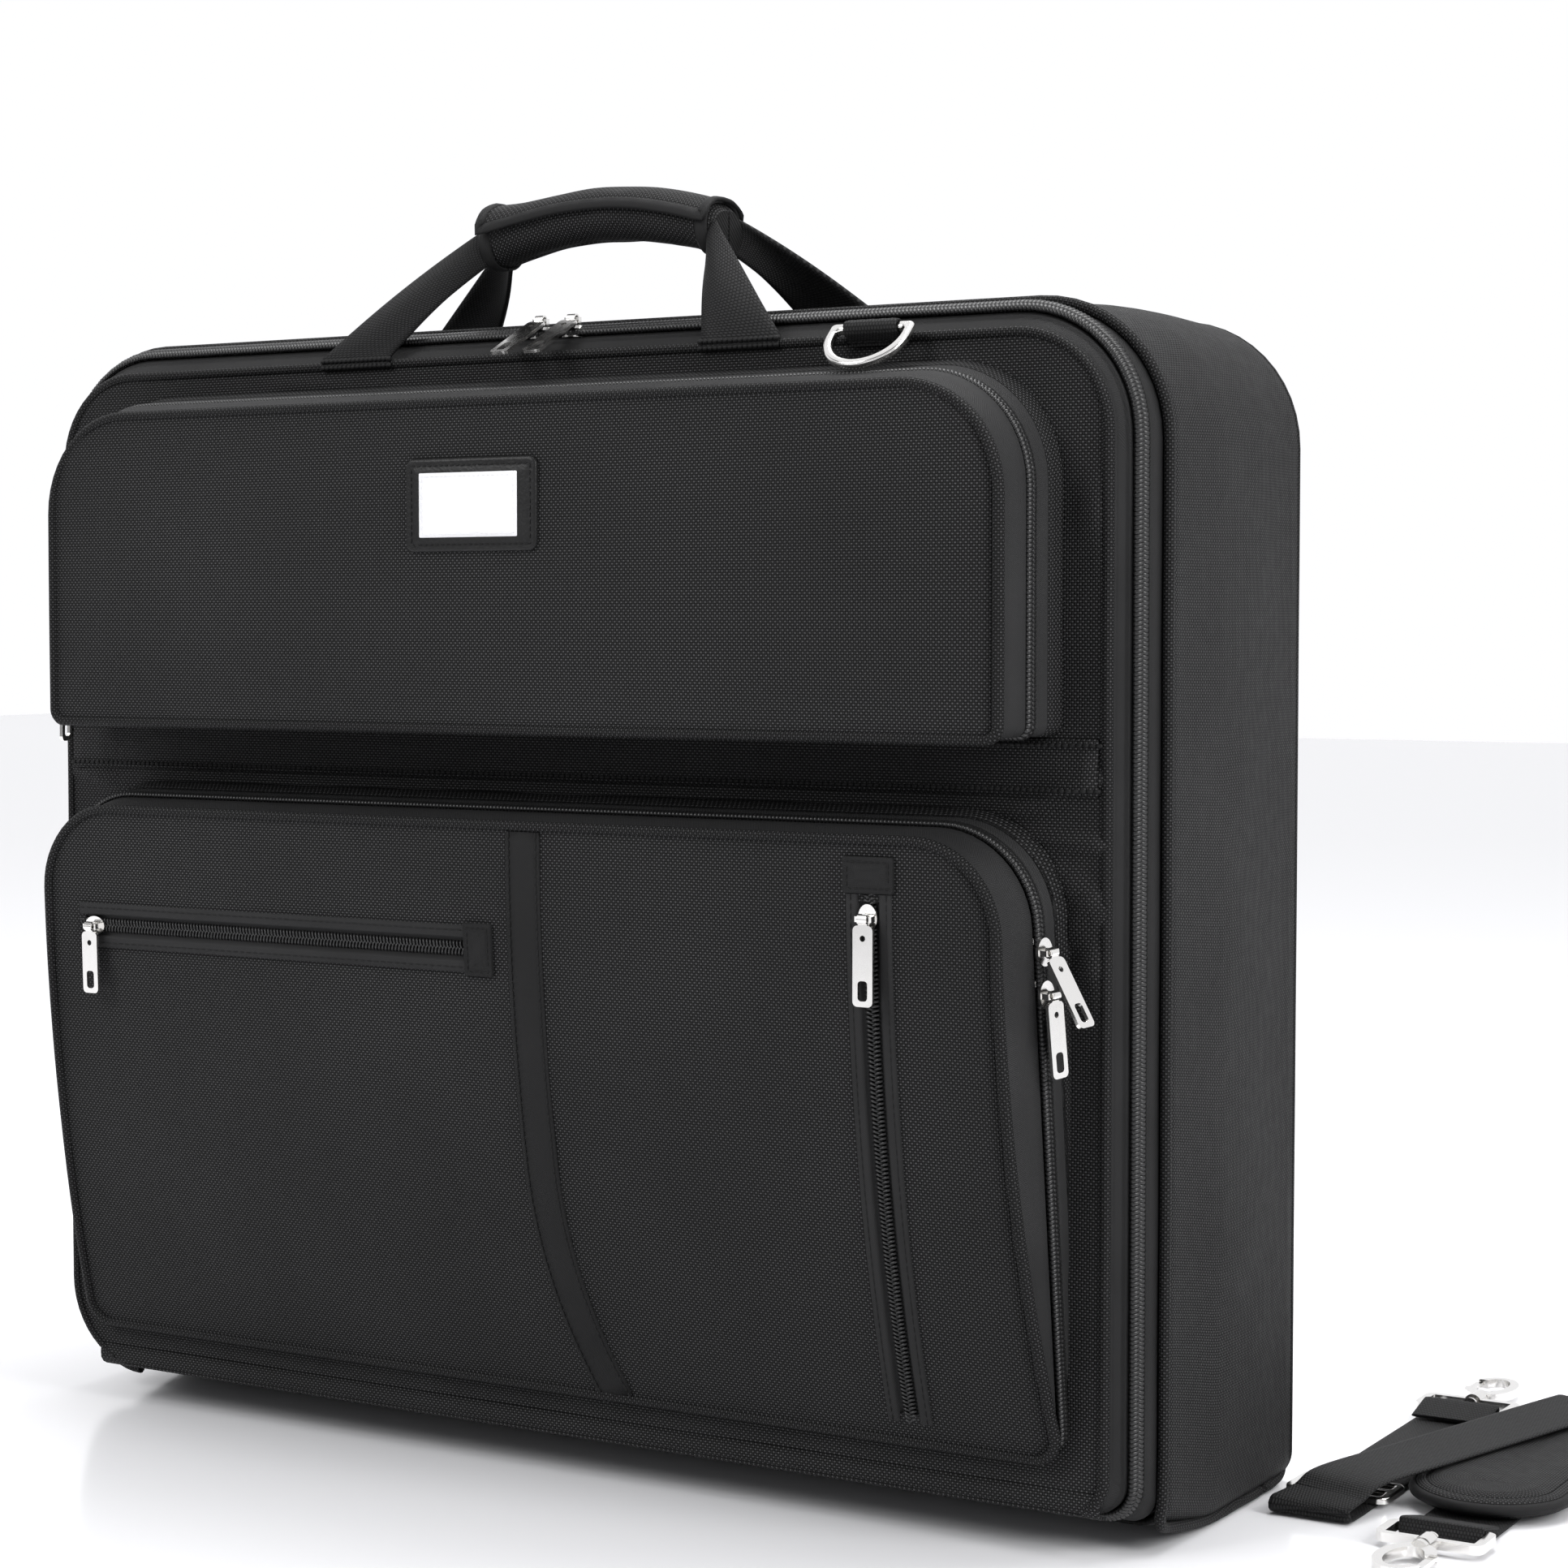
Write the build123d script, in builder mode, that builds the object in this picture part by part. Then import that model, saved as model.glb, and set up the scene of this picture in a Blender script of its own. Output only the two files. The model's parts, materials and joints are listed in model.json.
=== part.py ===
from build123d import *
import math
import os

os.makedirs("parts", exist_ok=True)

# A bi-fold garment bag. X runs across the bag, -Y is its front and Z is up, in millimetres.
# The origin is on the floor, midway across the bag and midway between the lid and the back.

# ---- driving dimensions ----
FRONT = -83  # face of the lid panel
ZIP_Y = -69  # plane of the main zipper
RIM = -56  # front rim of the shell
BACK = 83  # outer face of the back
SHELL_HALF = 308  # half width of the shell at the back
RIM_HALF = 305
ZIP_HALF = 298
LID_HALF = 288
TOP = 535  # highest point of the shell
WALL = 2.5  # padded fabric wall
GAP = 0.3  # clearance between separate bodies
HINGE_Z = 10  # height of the fold between lid and shell
TEETH = 5  # half width of a zipper chain
SPLIT = 0.8  # half the gap between the two rows of teeth

BAND_LOW, BAND_HIGH = 323, 348  # band across the lid

UP_HALF, UP_BASE_HALF = 259, 269  # upper pocket, at its face and at the lid
UP_LOW, UP_TOP, UP_BASE_TOP = 349, 495, 508
POCKET_FACE = -126
UP_ZIP_Y = -105

LOW_HALF, LOW_BASE_HALF = 261, 273  # lower pocket
LOW_LOW, LOW_TOP, LOW_BASE_TOP = 43, 306, 318
LOW_ZIP_TOP_Y = -107  # depth of its zipper at the top
LOW_HINGE_Y = -86  # and at its bottom seam
LOW_BULGE = 12  # how far its face bows out

WEBBING = 40
SETTLED = 0.38  # the lower right corners have settled to this share of the left ones' radius


def keep(piece, label):
    """Names a finished piece and writes it as its own node."""
    piece.label = label
    export_step(piece, f"parts/{label}.step")


def outline(half, low, high, r_high, r_low, mode=Mode.ADD):
    """Fills an upright rounded outline in the open sketch."""
    r_right = r_low * SETTLED if r_low > 15 else r_low
    with BuildLine() as rim_line:
        bottom = Line((-half + r_low, low), (half - r_right, low))
        corner = JernArc(bottom @ 1, bottom % 1, r_right, 90)
        right = Line(corner @ 1, (half, high - r_high))
        corner = JernArc(right @ 1, right % 1, r_high, 90)
        top = Line(corner @ 1, (-half + r_high, high))
        corner = JernArc(top @ 1, top % 1, r_high, 90)
        left = Line(corner @ 1, (-half, low + r_low))
        JernArc(left @ 1, left % 1, r_low, 90)
    make_face(rim_line.edges(), mode=mode)


def upright(y):
    """The plane that faces the front at depth y."""
    return Plane.XZ.offset(-y)


def loft_outline(sections, mode=Mode.ADD):
    """Lofts outlines given as (y, half, low, high, r_high, r_low)."""
    faces = []
    for y, half, low, high, r_high, r_low in sections:
        with BuildSketch(upright(y)) as section:
            outline(half, low, high, r_high, r_low)
        faces.append(section.sketch.face())
    loft(sections=faces, ruled=True, mode=mode)


def grown(sections, by):
    """The same sections, with every outline moved out by a distance."""
    return [
        (y, half + by, low - by, high + by, r_high + by, r_low + by)
        for y, half, low, high, r_high, r_low in sections
    ]


def hollow(sections, wall):
    """A ring of wall that follows the sections."""
    loft_outline(sections)
    loft_outline(grown(sections, -wall), mode=Mode.SUBTRACT)


# ---- shell: the rear half ----
rim = (RIM, RIM_HALF, 11, TOP - 2, 60, 36)
belly = (-8, SHELL_HALF - 1, -0.4, TOP, 61, 35.5)
rear = (BACK - 6, SHELL_HALF, -0.4, TOP, 60, 35)

with BuildPart() as shell_gusset:
    hollow([rim, belly, rear], WALL)
    split(bisect_by=Plane.XY, keep=Keep.TOP)  # the bottom stands flat on the floor
keep(shell_gusset.part, "shell_gusset")

with BuildPart() as back_panel:
    with BuildSketch(upright(BACK - 6)):
        outline(SHELL_HALF - 6, 6, TOP - 6, 54, 29)
    extrude(amount=-WALL)
keep(back_panel.part, "back_panel")

with BuildPart() as back_stiffener:
    with BuildSketch(upright(BACK - 8)):
        outline(SHELL_HALF - 16, 16, TOP - 16, 46, 22)
    extrude(amount=-1.8)
keep(back_stiffener.part, "back_stiffener")

with BuildPart() as shell_lining:
    loft_outline(grown([rim, belly, (BACK - 8.2,) + rear[1:]], -WALL - 0.4))
    loft_outline(grown([rim, belly, (BACK - 9.2,) + rear[1:]], -WALL - 1.4), mode=Mode.SUBTRACT)
keep(shell_lining.part, "shell_lining")

with BuildPart() as shell_piping:
    with BuildSketch(upright(RIM)):
        outline(RIM_HALF + 1.5, 9.5, TOP - 0.5, 61, 37)
        outline(RIM_HALF - 3, 14, TOP - 5, 57, 33, mode=Mode.SUBTRACT)
    extrude(amount=4.5)
    with BuildSketch(upright(BACK - 6)):
        outline(SHELL_HALF, 0, TOP, 60, 35)
        outline(SHELL_HALF - 6, 6, TOP - 6, 54, 29, mode=Mode.SUBTRACT)
    extrude(amount=-5.5)
    fillet(shell_piping.edges().group_by(Axis.Y)[-1], 2)
keep(shell_piping.part, "shell_piping")

base_gap = 2 * (ZIP_HALF - 70)  # the zipper is absent along the bottom fold
teeth_rim = (ZIP_Y + TEETH, ZIP_HALF, 17, TOP - 4, 56, 38)
zip_rim = (ZIP_Y + SPLIT, ZIP_HALF - 0.2, 17.2, TOP - 4.2, 55.8, 37.8)
tape_end = (RIM - 4.6, RIM_HALF - 3.2, 14.2, TOP - 5.2, 57, 33)

with BuildPart() as main_shell_stringer:
    hollow([tape_end, teeth_rim, zip_rim], 2)
    with Locations((0, (ZIP_Y + RIM) / 2, 20)):
        Box(base_gap, 40, 40, mode=Mode.SUBTRACT)
keep(main_shell_stringer.part, "main_shell_stringer")

with BuildPart() as hinge_strip:
    with BuildSketch(Plane.YZ):
        with BuildLine():
            Polyline((RIM - 4.6, 14.2), (ZIP_Y + 2, 17), (ZIP_Y + 2, 19), (RIM - 4.6, 16.2), close=True)
        make_face()
    extrude(amount=base_gap / 2 - 1, both=True)
keep(hinge_strip.part, "hinge_strip")

# ---- lid: the front half ----
lid_back = (ZIP_Y - TEETH, ZIP_HALF, 17, TOP - 4, 56, 38)
lid_zip = (ZIP_Y - SPLIT,) + zip_rim[1:]
lid_front = (FRONT + 2.7, LID_HALF, 22, TOP - 18, 42, 40)

with BuildPart() as main_lid_stringer:
    hollow([lid_zip, lid_back, lid_front], 2)
    with Locations((0, (ZIP_Y + FRONT) / 2, 10)):
        Box(base_gap, 40, 60, mode=Mode.SUBTRACT)
keep(main_lid_stringer.part, "main_lid_stringer")

with BuildPart() as lid_panel:
    with BuildSketch(upright(FRONT)):
        outline(LID_HALF - 2, 23, TOP - 19, 41, 39)
    extrude(amount=-WALL)
keep(lid_panel.part, "lid_panel")

with BuildPart() as lid_piping:
    with BuildSketch(upright(FRONT + 2.4)):
        outline(LID_HALF + 2.5, 18.5, TOP - 14.5, 44, 43)
        outline(LID_HALF - 2, 23, TOP - 19, 41, 39, mode=Mode.SUBTRACT)
    extrude(amount=4.8)
    fillet(lid_piping.edges().filter_by(GeomType.LINE), 1.3)
keep(lid_piping.part, "lid_piping")

with BuildPart() as lid_stiffener:
    with BuildSketch(upright(FRONT + WALL + 0.2)):
        outline(LID_HALF - 8, 30, TOP - 28, 36, 34)
    extrude(amount=-1.8)
keep(lid_stiffener.part, "lid_stiffener")

with BuildPart() as front_band:
    with BuildSketch(upright(FRONT)):
        with Locations((0, (BAND_LOW + BAND_HIGH) / 2)):
            RectangleRounded(2 * LID_HALF - 4.4, BAND_HIGH - BAND_LOW, 1)
    extrude(amount=1.6)
keep(front_band.part, "front_band")

# ---- upper pocket ----
up_base = (FRONT - 0.2, UP_BASE_HALF, UP_LOW, UP_BASE_TOP, 52, 5)
up_face = (POCKET_FACE, UP_HALF, UP_LOW - 0.5, UP_TOP, 46, 5.5)


def between(sections, y):
    """The outline at depth y, on the straight loft from one section to the other."""
    share = (y - sections[0][0]) / (sections[1][0] - sections[0][0])
    blend = [a + share * (b - a) for a, b in zip(sections[0], sections[1])]
    return tuple(blend)


up_pair = [up_base, up_face]
up_split_base = between(up_pair, UP_ZIP_Y + SPLIT)
up_split_face = between(up_pair, UP_ZIP_Y - SPLIT)
up_skin_back = between(up_pair, POCKET_FACE + WALL)

with BuildPart() as upper_base_stringer:
    hollow([up_base, up_split_base], 2)
keep(upper_base_stringer.part, "upper_base_stringer")

with BuildPart() as upper_cover_stringer:
    hollow([up_split_face, up_skin_back], 2)
keep(upper_cover_stringer.part, "upper_cover_stringer")

with BuildPart() as upper_cover_panel:
    with BuildSketch(upright(POCKET_FACE + WALL)):
        outline(UP_HALF - 2.4, UP_LOW + 2.4, UP_TOP - 2.4, 43.6, 2.6)
    extrude(amount=WALL)
keep(upper_cover_panel.part, "upper_cover_panel")

with BuildPart() as upper_cover_piping:
    with BuildSketch(upright(POCKET_FACE + WALL)):
        outline(UP_HALF + 2, UP_LOW - 2, UP_TOP + 2, 48, 7)
        outline(UP_HALF - 2.4, UP_LOW + 2.4, UP_TOP - 2.4, 43.6, 2.6, mode=Mode.SUBTRACT)
    extrude(amount=4.4)
    fillet(upper_cover_piping.edges().filter_by(GeomType.LINE), 1.2)
keep(upper_cover_piping.part, "upper_cover_piping")

PATCH_X, PATCH_Z = -3, 449
with BuildPart() as leather_patch:
    with BuildSketch(upright(POCKET_FACE)):
        with Locations((PATCH_X, PATCH_Z)):
            RectangleRounded(72, 42, 4)
    extrude(amount=1.6)
    fillet(leather_patch.edges().group_by(Axis.Y)[0], 0.5)
keep(leather_patch.part, "leather_patch")

with BuildPart() as blank_label:
    with BuildSketch(upright(POCKET_FACE - 1.6)):
        with Locations((PATCH_X - 1, PATCH_Z)):
            Rectangle(54, 29)
    extrude(amount=0.5)
keep(blank_label.part, "blank_label")

# ---- lower pocket, deep at its top and flush at its bottom seam ----
face_run = Vector(0, POCKET_FACE - LOW_HINGE_Y - 1, LOW_TOP - LOW_LOW)
face_out = Vector(0, -face_run.Z, face_run.Y).normalized()  # away from the bag, square to its chord


def face_skin(inner, outer):
    """Keeps only what lies in a bowed slab, between two heights above the lower pocket's face."""
    foot = Vector(0, LOW_HINGE_Y - 1, LOW_LOW)
    reach = face_run * 0.06
    with BuildSketch(Plane.YZ.offset(-300)) as slab:
        with BuildLine():
            low, high = [], []
            for height, ends in ((inner, low), (outer, high)):
                start = foot - reach + face_out * height
                end = foot + face_run + reach + face_out * height
                middle = (start + end) * 0.5 + face_out * LOW_BULGE * 1.12
                ThreePointArc((start.Y, start.Z), (middle.Y, middle.Z), (end.Y, end.Z))
                ends += [(start.Y, start.Z), (end.Y, end.Z)]
            Line(low[0], high[0])
            Line(low[1], high[1])
        make_face()
    extrude(slab.sketch, amount=600, mode=Mode.INTERSECT)


def low_sections(by=0):
    """The lower pocket's outline at the lid and well in front of its face."""
    base = (FRONT - 0.2, LOW_BASE_HALF, LOW_LOW, LOW_BASE_TOP, 44, 12)
    front = (FRONT - 60, LOW_HALF - 4, LOW_LOW - 1, LOW_TOP - 4, 38, 13)
    return grown([base, front], by)


low_zip_run = Vector(0, LOW_ZIP_TOP_Y - LOW_HINGE_Y, LOW_BASE_TOP - LOW_LOW)
low_zip_out = Vector(0, -low_zip_run.Z, low_zip_run.Y).normalized()
low_zip_plane = Plane(origin=(0, LOW_HINGE_Y, LOW_LOW), x_dir=(1, 0, 0), z_dir=low_zip_out)

with BuildPart() as lower_base_stringer:
    hollow(low_sections(), 2)
    face_skin(-60, -3)
    split(bisect_by=low_zip_plane.offset(-SPLIT), keep=Keep.BOTTOM)
keep(lower_base_stringer.part, "lower_base_stringer")

with BuildPart() as lower_cover_stringer:
    hollow(low_sections(), 2)
    face_skin(-60, -WALL)
    split(bisect_by=low_zip_plane.offset(SPLIT), keep=Keep.TOP)
keep(lower_cover_stringer.part, "lower_cover_stringer")

with BuildPart() as lower_cover_piping:
    loft_outline(low_sections(2))
    loft_outline(low_sections(-2.6), mode=Mode.SUBTRACT)
    face_skin(-WALL, 2)
keep(lower_cover_piping.part, "lower_cover_piping")

ACCENT_X, ACCENT_W = 25.5, 19
with BuildPart() as accent_strip:
    with BuildSketch(upright(FRONT - 70)):
        with BuildLine():
            drop = Line((ACCENT_X - ACCENT_W / 2, LOW_TOP - 3.4), (ACCENT_X - ACCENT_W / 2, 150))
            bend = JernArc(drop @ 1, drop % 1, 260, 26)
            foot = Line(bend @ 1, bend @ 1 + Vector(ACCENT_W, 0))
            back_bend = JernArc(drop @ 1 + Vector(ACCENT_W, 0), drop % 1, 260, 26)
            Line(back_bend @ 0, (ACCENT_X + ACCENT_W / 2, LOW_TOP - 3.4))
            Line((ACCENT_X + ACCENT_W / 2, LOW_TOP - 3.4), drop @ 0)
        make_face()
    extrude(amount=-70)
    with BuildSketch(upright(FRONT - 70)):
        with Locations((0, 170)):
            Rectangle(500, 240)
    extrude(amount=-70, mode=Mode.INTERSECT)
    face_skin(0, 1.0)
keep(accent_strip.part, "accent_strip")

HZIP_Z, HZIP_LEFT, HZIP_RIGHT = 249, -240, -8
VZIP_X, VZIP_LOW, VZIP_HIGH = 202, 52, 283


def face_patch(x, z, width, height, inner, outer):
    """A flat piece laid on the lower pocket's bowed face."""
    with BuildSketch(upright(FRONT - 70)) as piece:
        with Locations((x, z)):
            RectangleRounded(width, height, 0.7)
    extrude(piece.sketch, amount=-70)
    face_skin(inner, outer)


def face_band(x, z, width, height, inner, outer):
    """A strip of the bowed slab, as a piece of its own to cut or add."""
    with BuildPart() as band:
        face_patch(x, z, width, height, inner, outer)
    return band.part


SLIT = 2 * TEETH + 2
hzip_middle = (HZIP_LEFT + HZIP_RIGHT) / 2
hzip_length = HZIP_RIGHT - HZIP_LEFT
vzip_middle = (VZIP_LOW + VZIP_HIGH) / 2
vzip_length = VZIP_HIGH - VZIP_LOW
hzip_slit = face_band(hzip_middle, HZIP_Z, hzip_length - 4, SLIT, -6, 6)
vzip_slit = face_band(VZIP_X, vzip_middle, SLIT, vzip_length - 4, -6, 6)
hzip_groove = face_band(hzip_middle, HZIP_Z, hzip_length + 2, SLIT - 0.4, 0, 6)
vzip_groove = face_band(VZIP_X, vzip_middle, SLIT - 0.4, vzip_length + 2, 0, 6)
hzip_parting = face_band(hzip_middle, HZIP_Z, hzip_length + 2, 2 * SPLIT, -6, 6)
vzip_parting = face_band(VZIP_X, vzip_middle, 2 * SPLIT, vzip_length + 2, -6, 6)

with BuildPart() as lower_cover_panel:
    loft_outline(low_sections(-2.6))
    face_skin(-WALL, 0)
    add([hzip_slit, vzip_slit], mode=Mode.SUBTRACT)
keep(lower_cover_panel.part, "lower_cover_panel")

with BuildPart() as face_zips:
    add(face_band(hzip_middle, HZIP_Z, hzip_length, 22, 0.05, 0.9))
    add(face_band(VZIP_X, vzip_middle, 22, vzip_length, 0.05, 0.9))
    add([hzip_groove, vzip_groove], mode=Mode.SUBTRACT)
    add(face_band(hzip_middle, HZIP_Z, hzip_length - 5, SLIT - 0.2, -2, 0))
    add(face_band(VZIP_X, vzip_middle, SLIT - 0.2, vzip_length - 5, -2, 0))
    add([hzip_parting, vzip_parting], mode=Mode.SUBTRACT)
keep(face_zips.part, "face_zips")

with BuildPart() as zip_end_tabs:
    add(face_band(HZIP_RIGHT + 8, HZIP_Z, 15.4, 24, 0.05, 1.8))
    add(face_band(VZIP_X, VZIP_HIGH + 8, 24, 15.4, 0.05, 1.8))
keep(zip_end_tabs.part, "zip_end_tabs")

# ---- zipper sliders and their pullers ----
BODY_W, BODY_L, PLATE = 9.0, 12.0, 1.3
SIDE_GAP = 1.4  # a slider on a slanting side wall stands further off, so that the cover can draw out of it


def slider(place, bar, gap):
    """A slider whose local Z points away from the bag and Y along its chain; bar is its bridge's way."""
    with BuildSketch(place.offset(gap)) as upper:
        Ellipse(BODY_W / 2, BODY_L / 2)
    extrude(upper.sketch, amount=PLATE)
    with BuildSketch(place.offset(-2 - gap)) as lower:
        Ellipse(BODY_W / 2, BODY_L / 2)
    extrude(lower.sketch, amount=-PLATE)
    with BuildSketch(place.offset(-2.2 - gap)) as post:
        with Locations((0, BODY_L / 2 - 2)):
            SlotOverall(3, 0.6, rotation=90)
    extrude(post.sketch, amount=2.4 + 2 * gap)
    base = place.origin + place.z_dir * (gap + PLATE - 0.2)
    side = Plane(origin=base, x_dir=bar, z_dir=bar.cross(place.z_dir))
    with BuildSketch(side.offset(-1.2)) as bridge:
        Rectangle(8, 4.2, align=(Align.CENTER, Align.MIN))
        Rectangle(5.4, 3.0, align=(Align.CENTER, Align.MIN), mode=Mode.SUBTRACT)
    extrude(bridge.sketch, amount=2.4)


def puller(place, bar, hang, length, gap):
    """A flat puller with an eye round the slider's bridge and a window near its tip."""
    eye = place.origin + place.z_dir * (gap + PLATE + 3.4)
    with BuildSketch(Plane(origin=eye, x_dir=bar, z_dir=bar.cross(hang)).offset(-0.8)) as blade:
        with Locations((0, -length / 2 - 2.6)):
            RectangleRounded(9.5, length, 2.2)
        with Locations((0, -length + 4)):
            RectangleRounded(4.6, 8.5, 1.6, mode=Mode.SUBTRACT)
        with Locations((0, -8)):
            Circle(1.3, mode=Mode.SUBTRACT)
        Rectangle(4.4, 3.6, align=(Align.CENTER, Align.MAX))
    extrude(blade.sketch, amount=1.6)
    with BuildSketch(Plane(origin=eye, x_dir=hang, z_dir=bar).offset(-2.2)) as sleeve:
        Circle(2.3)
    extrude(sleeve.sketch, amount=4.4)
    with BuildSketch(Plane(origin=eye, x_dir=hang, z_dir=bar).offset(-5)) as bore:
        Circle(1.5)
    extrude(bore.sketch, amount=10, mode=Mode.SUBTRACT)


main_z = TOP - 4
side_share = (UP_ZIP_Y - up_base[0]) / (up_face[0] - up_base[0])
up_side_x = UP_BASE_HALF + side_share * (UP_HALF - UP_BASE_HALF)
up_lean = math.atan2(UP_BASE_HALF - UP_HALF, FRONT - POCKET_FACE)
low_lean = math.atan2(LOW_BASE_HALF - LOW_HALF + 4, 60)


def low_side(z):
    """The point on the lower pocket's right side zipper at height z."""
    share = (z - LOW_LOW) / (LOW_BASE_TOP - LOW_LOW)
    y = LOW_HINGE_Y + share * low_zip_run.Y
    x = LOW_BASE_HALF - (FRONT - 0.2 - y) * math.tan(low_lean)
    return Vector(x, y, z)


def face_point(z):
    """The point on the lower pocket's bowed face at height z."""
    foot = Vector(0, LOW_HINGE_Y - 1, LOW_LOW)
    sag = LOW_BULGE * 1.12
    half_chord = face_run.length * 1.12 / 2
    radius = (half_chord**2 + sag**2) / (2 * sag)
    centre = foot + face_run * 0.5 + face_out * (sag - radius)
    return Vector(0, centre.Y - math.sqrt(radius**2 - (z - centre.Z) ** 2), z), centre


low_dir = (low_side(300) - low_side(60)).normalized()
vzip_at, vzip_centre = face_point(VZIP_HIGH - 10)
hzip_at, _ = face_point(HZIP_Z)
vzip_out = (vzip_at - vzip_centre).normalized()
hzip_out = (hzip_at - vzip_centre).normalized()
side_out = Vector(math.cos(low_lean), -math.sin(low_lean), 0)
side_out = (side_out - low_dir * side_out.dot(low_dir)).normalized()

out_left = Vector(-math.cos(up_lean), -math.sin(up_lean), 0)
UP, ACROSS = Vector(0, 0, 1), Vector(1, 0, 0)
low_bar = low_dir.cross(side_out)


def hanging(along, out, lifted):
    """The way a puller hangs from its eye, lifted off the face by an angle."""
    angle = math.radians(lifted)
    return along * math.cos(angle) + out * math.sin(angle)


# name: (chain point, way out of the bag, way of the chain, way of the bridge, way the puller hangs, length)
SLIDERS = {
    "main_left": (Vector(-7, ZIP_Y, main_z), UP, ACROSS, ACROSS, hanging(Vector(0, -1, 0), UP, -27), 36),
    "main_right": (Vector(11, ZIP_Y, main_z), UP, -ACROSS, ACROSS, hanging(Vector(0, -1, 0), UP, -27), 36),
    "upper_pocket": (
        Vector(-up_side_x, UP_ZIP_Y, 372), out_left, UP, UP.cross(out_left), hanging(-UP, out_left, 1), 32
    ),
    "lower_pocket_high": (low_side(260), side_out, low_dir, low_bar, hanging(-low_dir, side_out, 30), 32),
    "lower_pocket_low": (low_side(242), side_out, low_dir, low_bar, hanging(-low_dir, side_out, 2), 32),
    "horizontal_zip": (
        hzip_at + ACROSS * (HZIP_LEFT + 10), hzip_out, ACROSS, ACROSS, hanging(ACROSS.cross(hzip_out), hzip_out, 2), 30
    ),
    "vertical_zip": (
        vzip_at + ACROSS * VZIP_X, vzip_out, vzip_out.cross(ACROSS), ACROSS,
        hanging(ACROSS.cross(vzip_out), vzip_out, 2), 34,
    ),
}

for name, (at, out, up, bar, hang, length) in SLIDERS.items():
    gap = SIDE_GAP if "pocket" in name else GAP
    place = Plane(origin=at, x_dir=up.cross(out), z_dir=out)
    with BuildPart() as slider_body:
        slider(place, bar, gap)
    keep(slider_body.part, f"{name}_slider")
    with BuildPart() as slider_puller:
        puller(place, bar, -hang, length, gap)
    keep(slider_puller.part, f"{name}_puller")

# ---- carrying handle: two webbing loops, two halves of the grip and its flap ----
GRIP_X, GRIP_LOW, GRIP_HIGH = 18, 562, 594
GRIP_HALF = 66
FRONT_PAD = (-66, -50.6)  # front and back of the front half
REAR_PAD = (-50, -34.6)
LEG_TOP_Z = 578
FRONT_LEG_FOOT = Vector(0, -84, 522)
REAR_LEG_FOOT = Vector(0, 4, 538)


def handle_webbing(foot, pad):
    """A flat webbing loop whose two legs lean from their foot up into the grip."""
    top = Vector(0, sum(pad) / 2, LEG_TOP_Z)
    rise = (top - foot).length
    place = Plane(origin=foot, x_dir=(1, 0, 0), z_dir=Vector(0, -1, 0).rotate(
        Axis.X, -math.degrees(math.atan2(top.Y - foot.Y, top.Z - foot.Z))))
    with BuildSketch(place) as loop:
        for side, foot_x in ((-1, -107), (1, 111)):
            end = GRIP_X + side * (GRIP_HALF + 4)
            with BuildLine():
                Polyline(
                    (foot_x + side * WEBBING / 2, 0),
                    (foot_x - side * WEBBING / 2, 0),
                    (end, rise - 11),
                    (end, rise + 11),
                    close=True,
                )
            make_face()
    extrude(loop.sketch, amount=1.1, both=True)
    with BuildSketch(Plane.YZ.offset(GRIP_X - GRIP_HALF - 8)) as core:
        with Locations((top.Y, top.Z)):
            Rectangle(2.2, 20)
    extrude(core.sketch, amount=2 * GRIP_HALF + 16)


def grip_half(pad):
    """One padded half of the grip, hollow where its webbing passes through."""
    with BuildSketch(Plane.YZ.offset(GRIP_X - GRIP_HALF)) as end:
        with Locations((sum(pad) / 2, (GRIP_LOW + GRIP_HIGH) / 2)):
            RectangleRounded(pad[1] - pad[0], GRIP_HIGH - GRIP_LOW, 6)
    extrude(end.sketch, amount=2 * GRIP_HALF)


with BuildPart() as front_handle_webbing:
    handle_webbing(FRONT_LEG_FOOT, FRONT_PAD)
keep(front_handle_webbing.part, "front_handle_webbing")

with BuildPart() as front_grip_pad:
    grip_half(FRONT_PAD)
    add(front_handle_webbing.part, mode=Mode.SUBTRACT)
keep(front_grip_pad.part.solids().sort_by(SortBy.VOLUME)[-1], "front_grip_pad")

with BuildPart() as rear_handle_webbing:
    handle_webbing(REAR_LEG_FOOT, REAR_PAD)
keep(rear_handle_webbing.part, "rear_handle_webbing")

with BuildPart() as rear_grip_pad:
    grip_half(REAR_PAD)
    add(rear_handle_webbing.part, mode=Mode.SUBTRACT)
keep(rear_grip_pad.part.solids().sort_by(SortBy.VOLUME)[-1], "rear_grip_pad")

with BuildPart() as grip_flap:
    with BuildSketch(Plane.XY.offset(GRIP_HIGH + 0.6)):
        with Locations((GRIP_X + 4, (FRONT_PAD[0] + REAR_PAD[1]) / 2)):
            RectangleRounded(112, 30, 5)
    extrude(amount=2.6)
keep(grip_flap.part, "grip_flap")

# ---- D-rings ----
WIRE = 2.1


def d_ring(place, bar=41, reach=26):
    """A D-shaped ring: its straight bar lies on the plane's X axis and its bow towards Y."""
    with BuildSketch(place.offset(-WIRE)) as bow:
        with BuildLine() as outer:
            straight = Line((-bar / 2, -WIRE), (bar / 2, -WIRE))
            side = Line(straight @ 1, (bar / 2, reach - bar / 2))
            arch = ThreePointArc(side @ 1, (0, reach), (-bar / 2, reach - bar / 2))
            Line(arch @ 1, straight @ 0)
        make_face()
        fillet(bow.vertices().group_by(Axis.Y)[0], 3)
        offset(amount=-2 * WIRE, mode=Mode.SUBTRACT)
    extrude(bow.sketch, amount=2 * WIRE)


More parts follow.
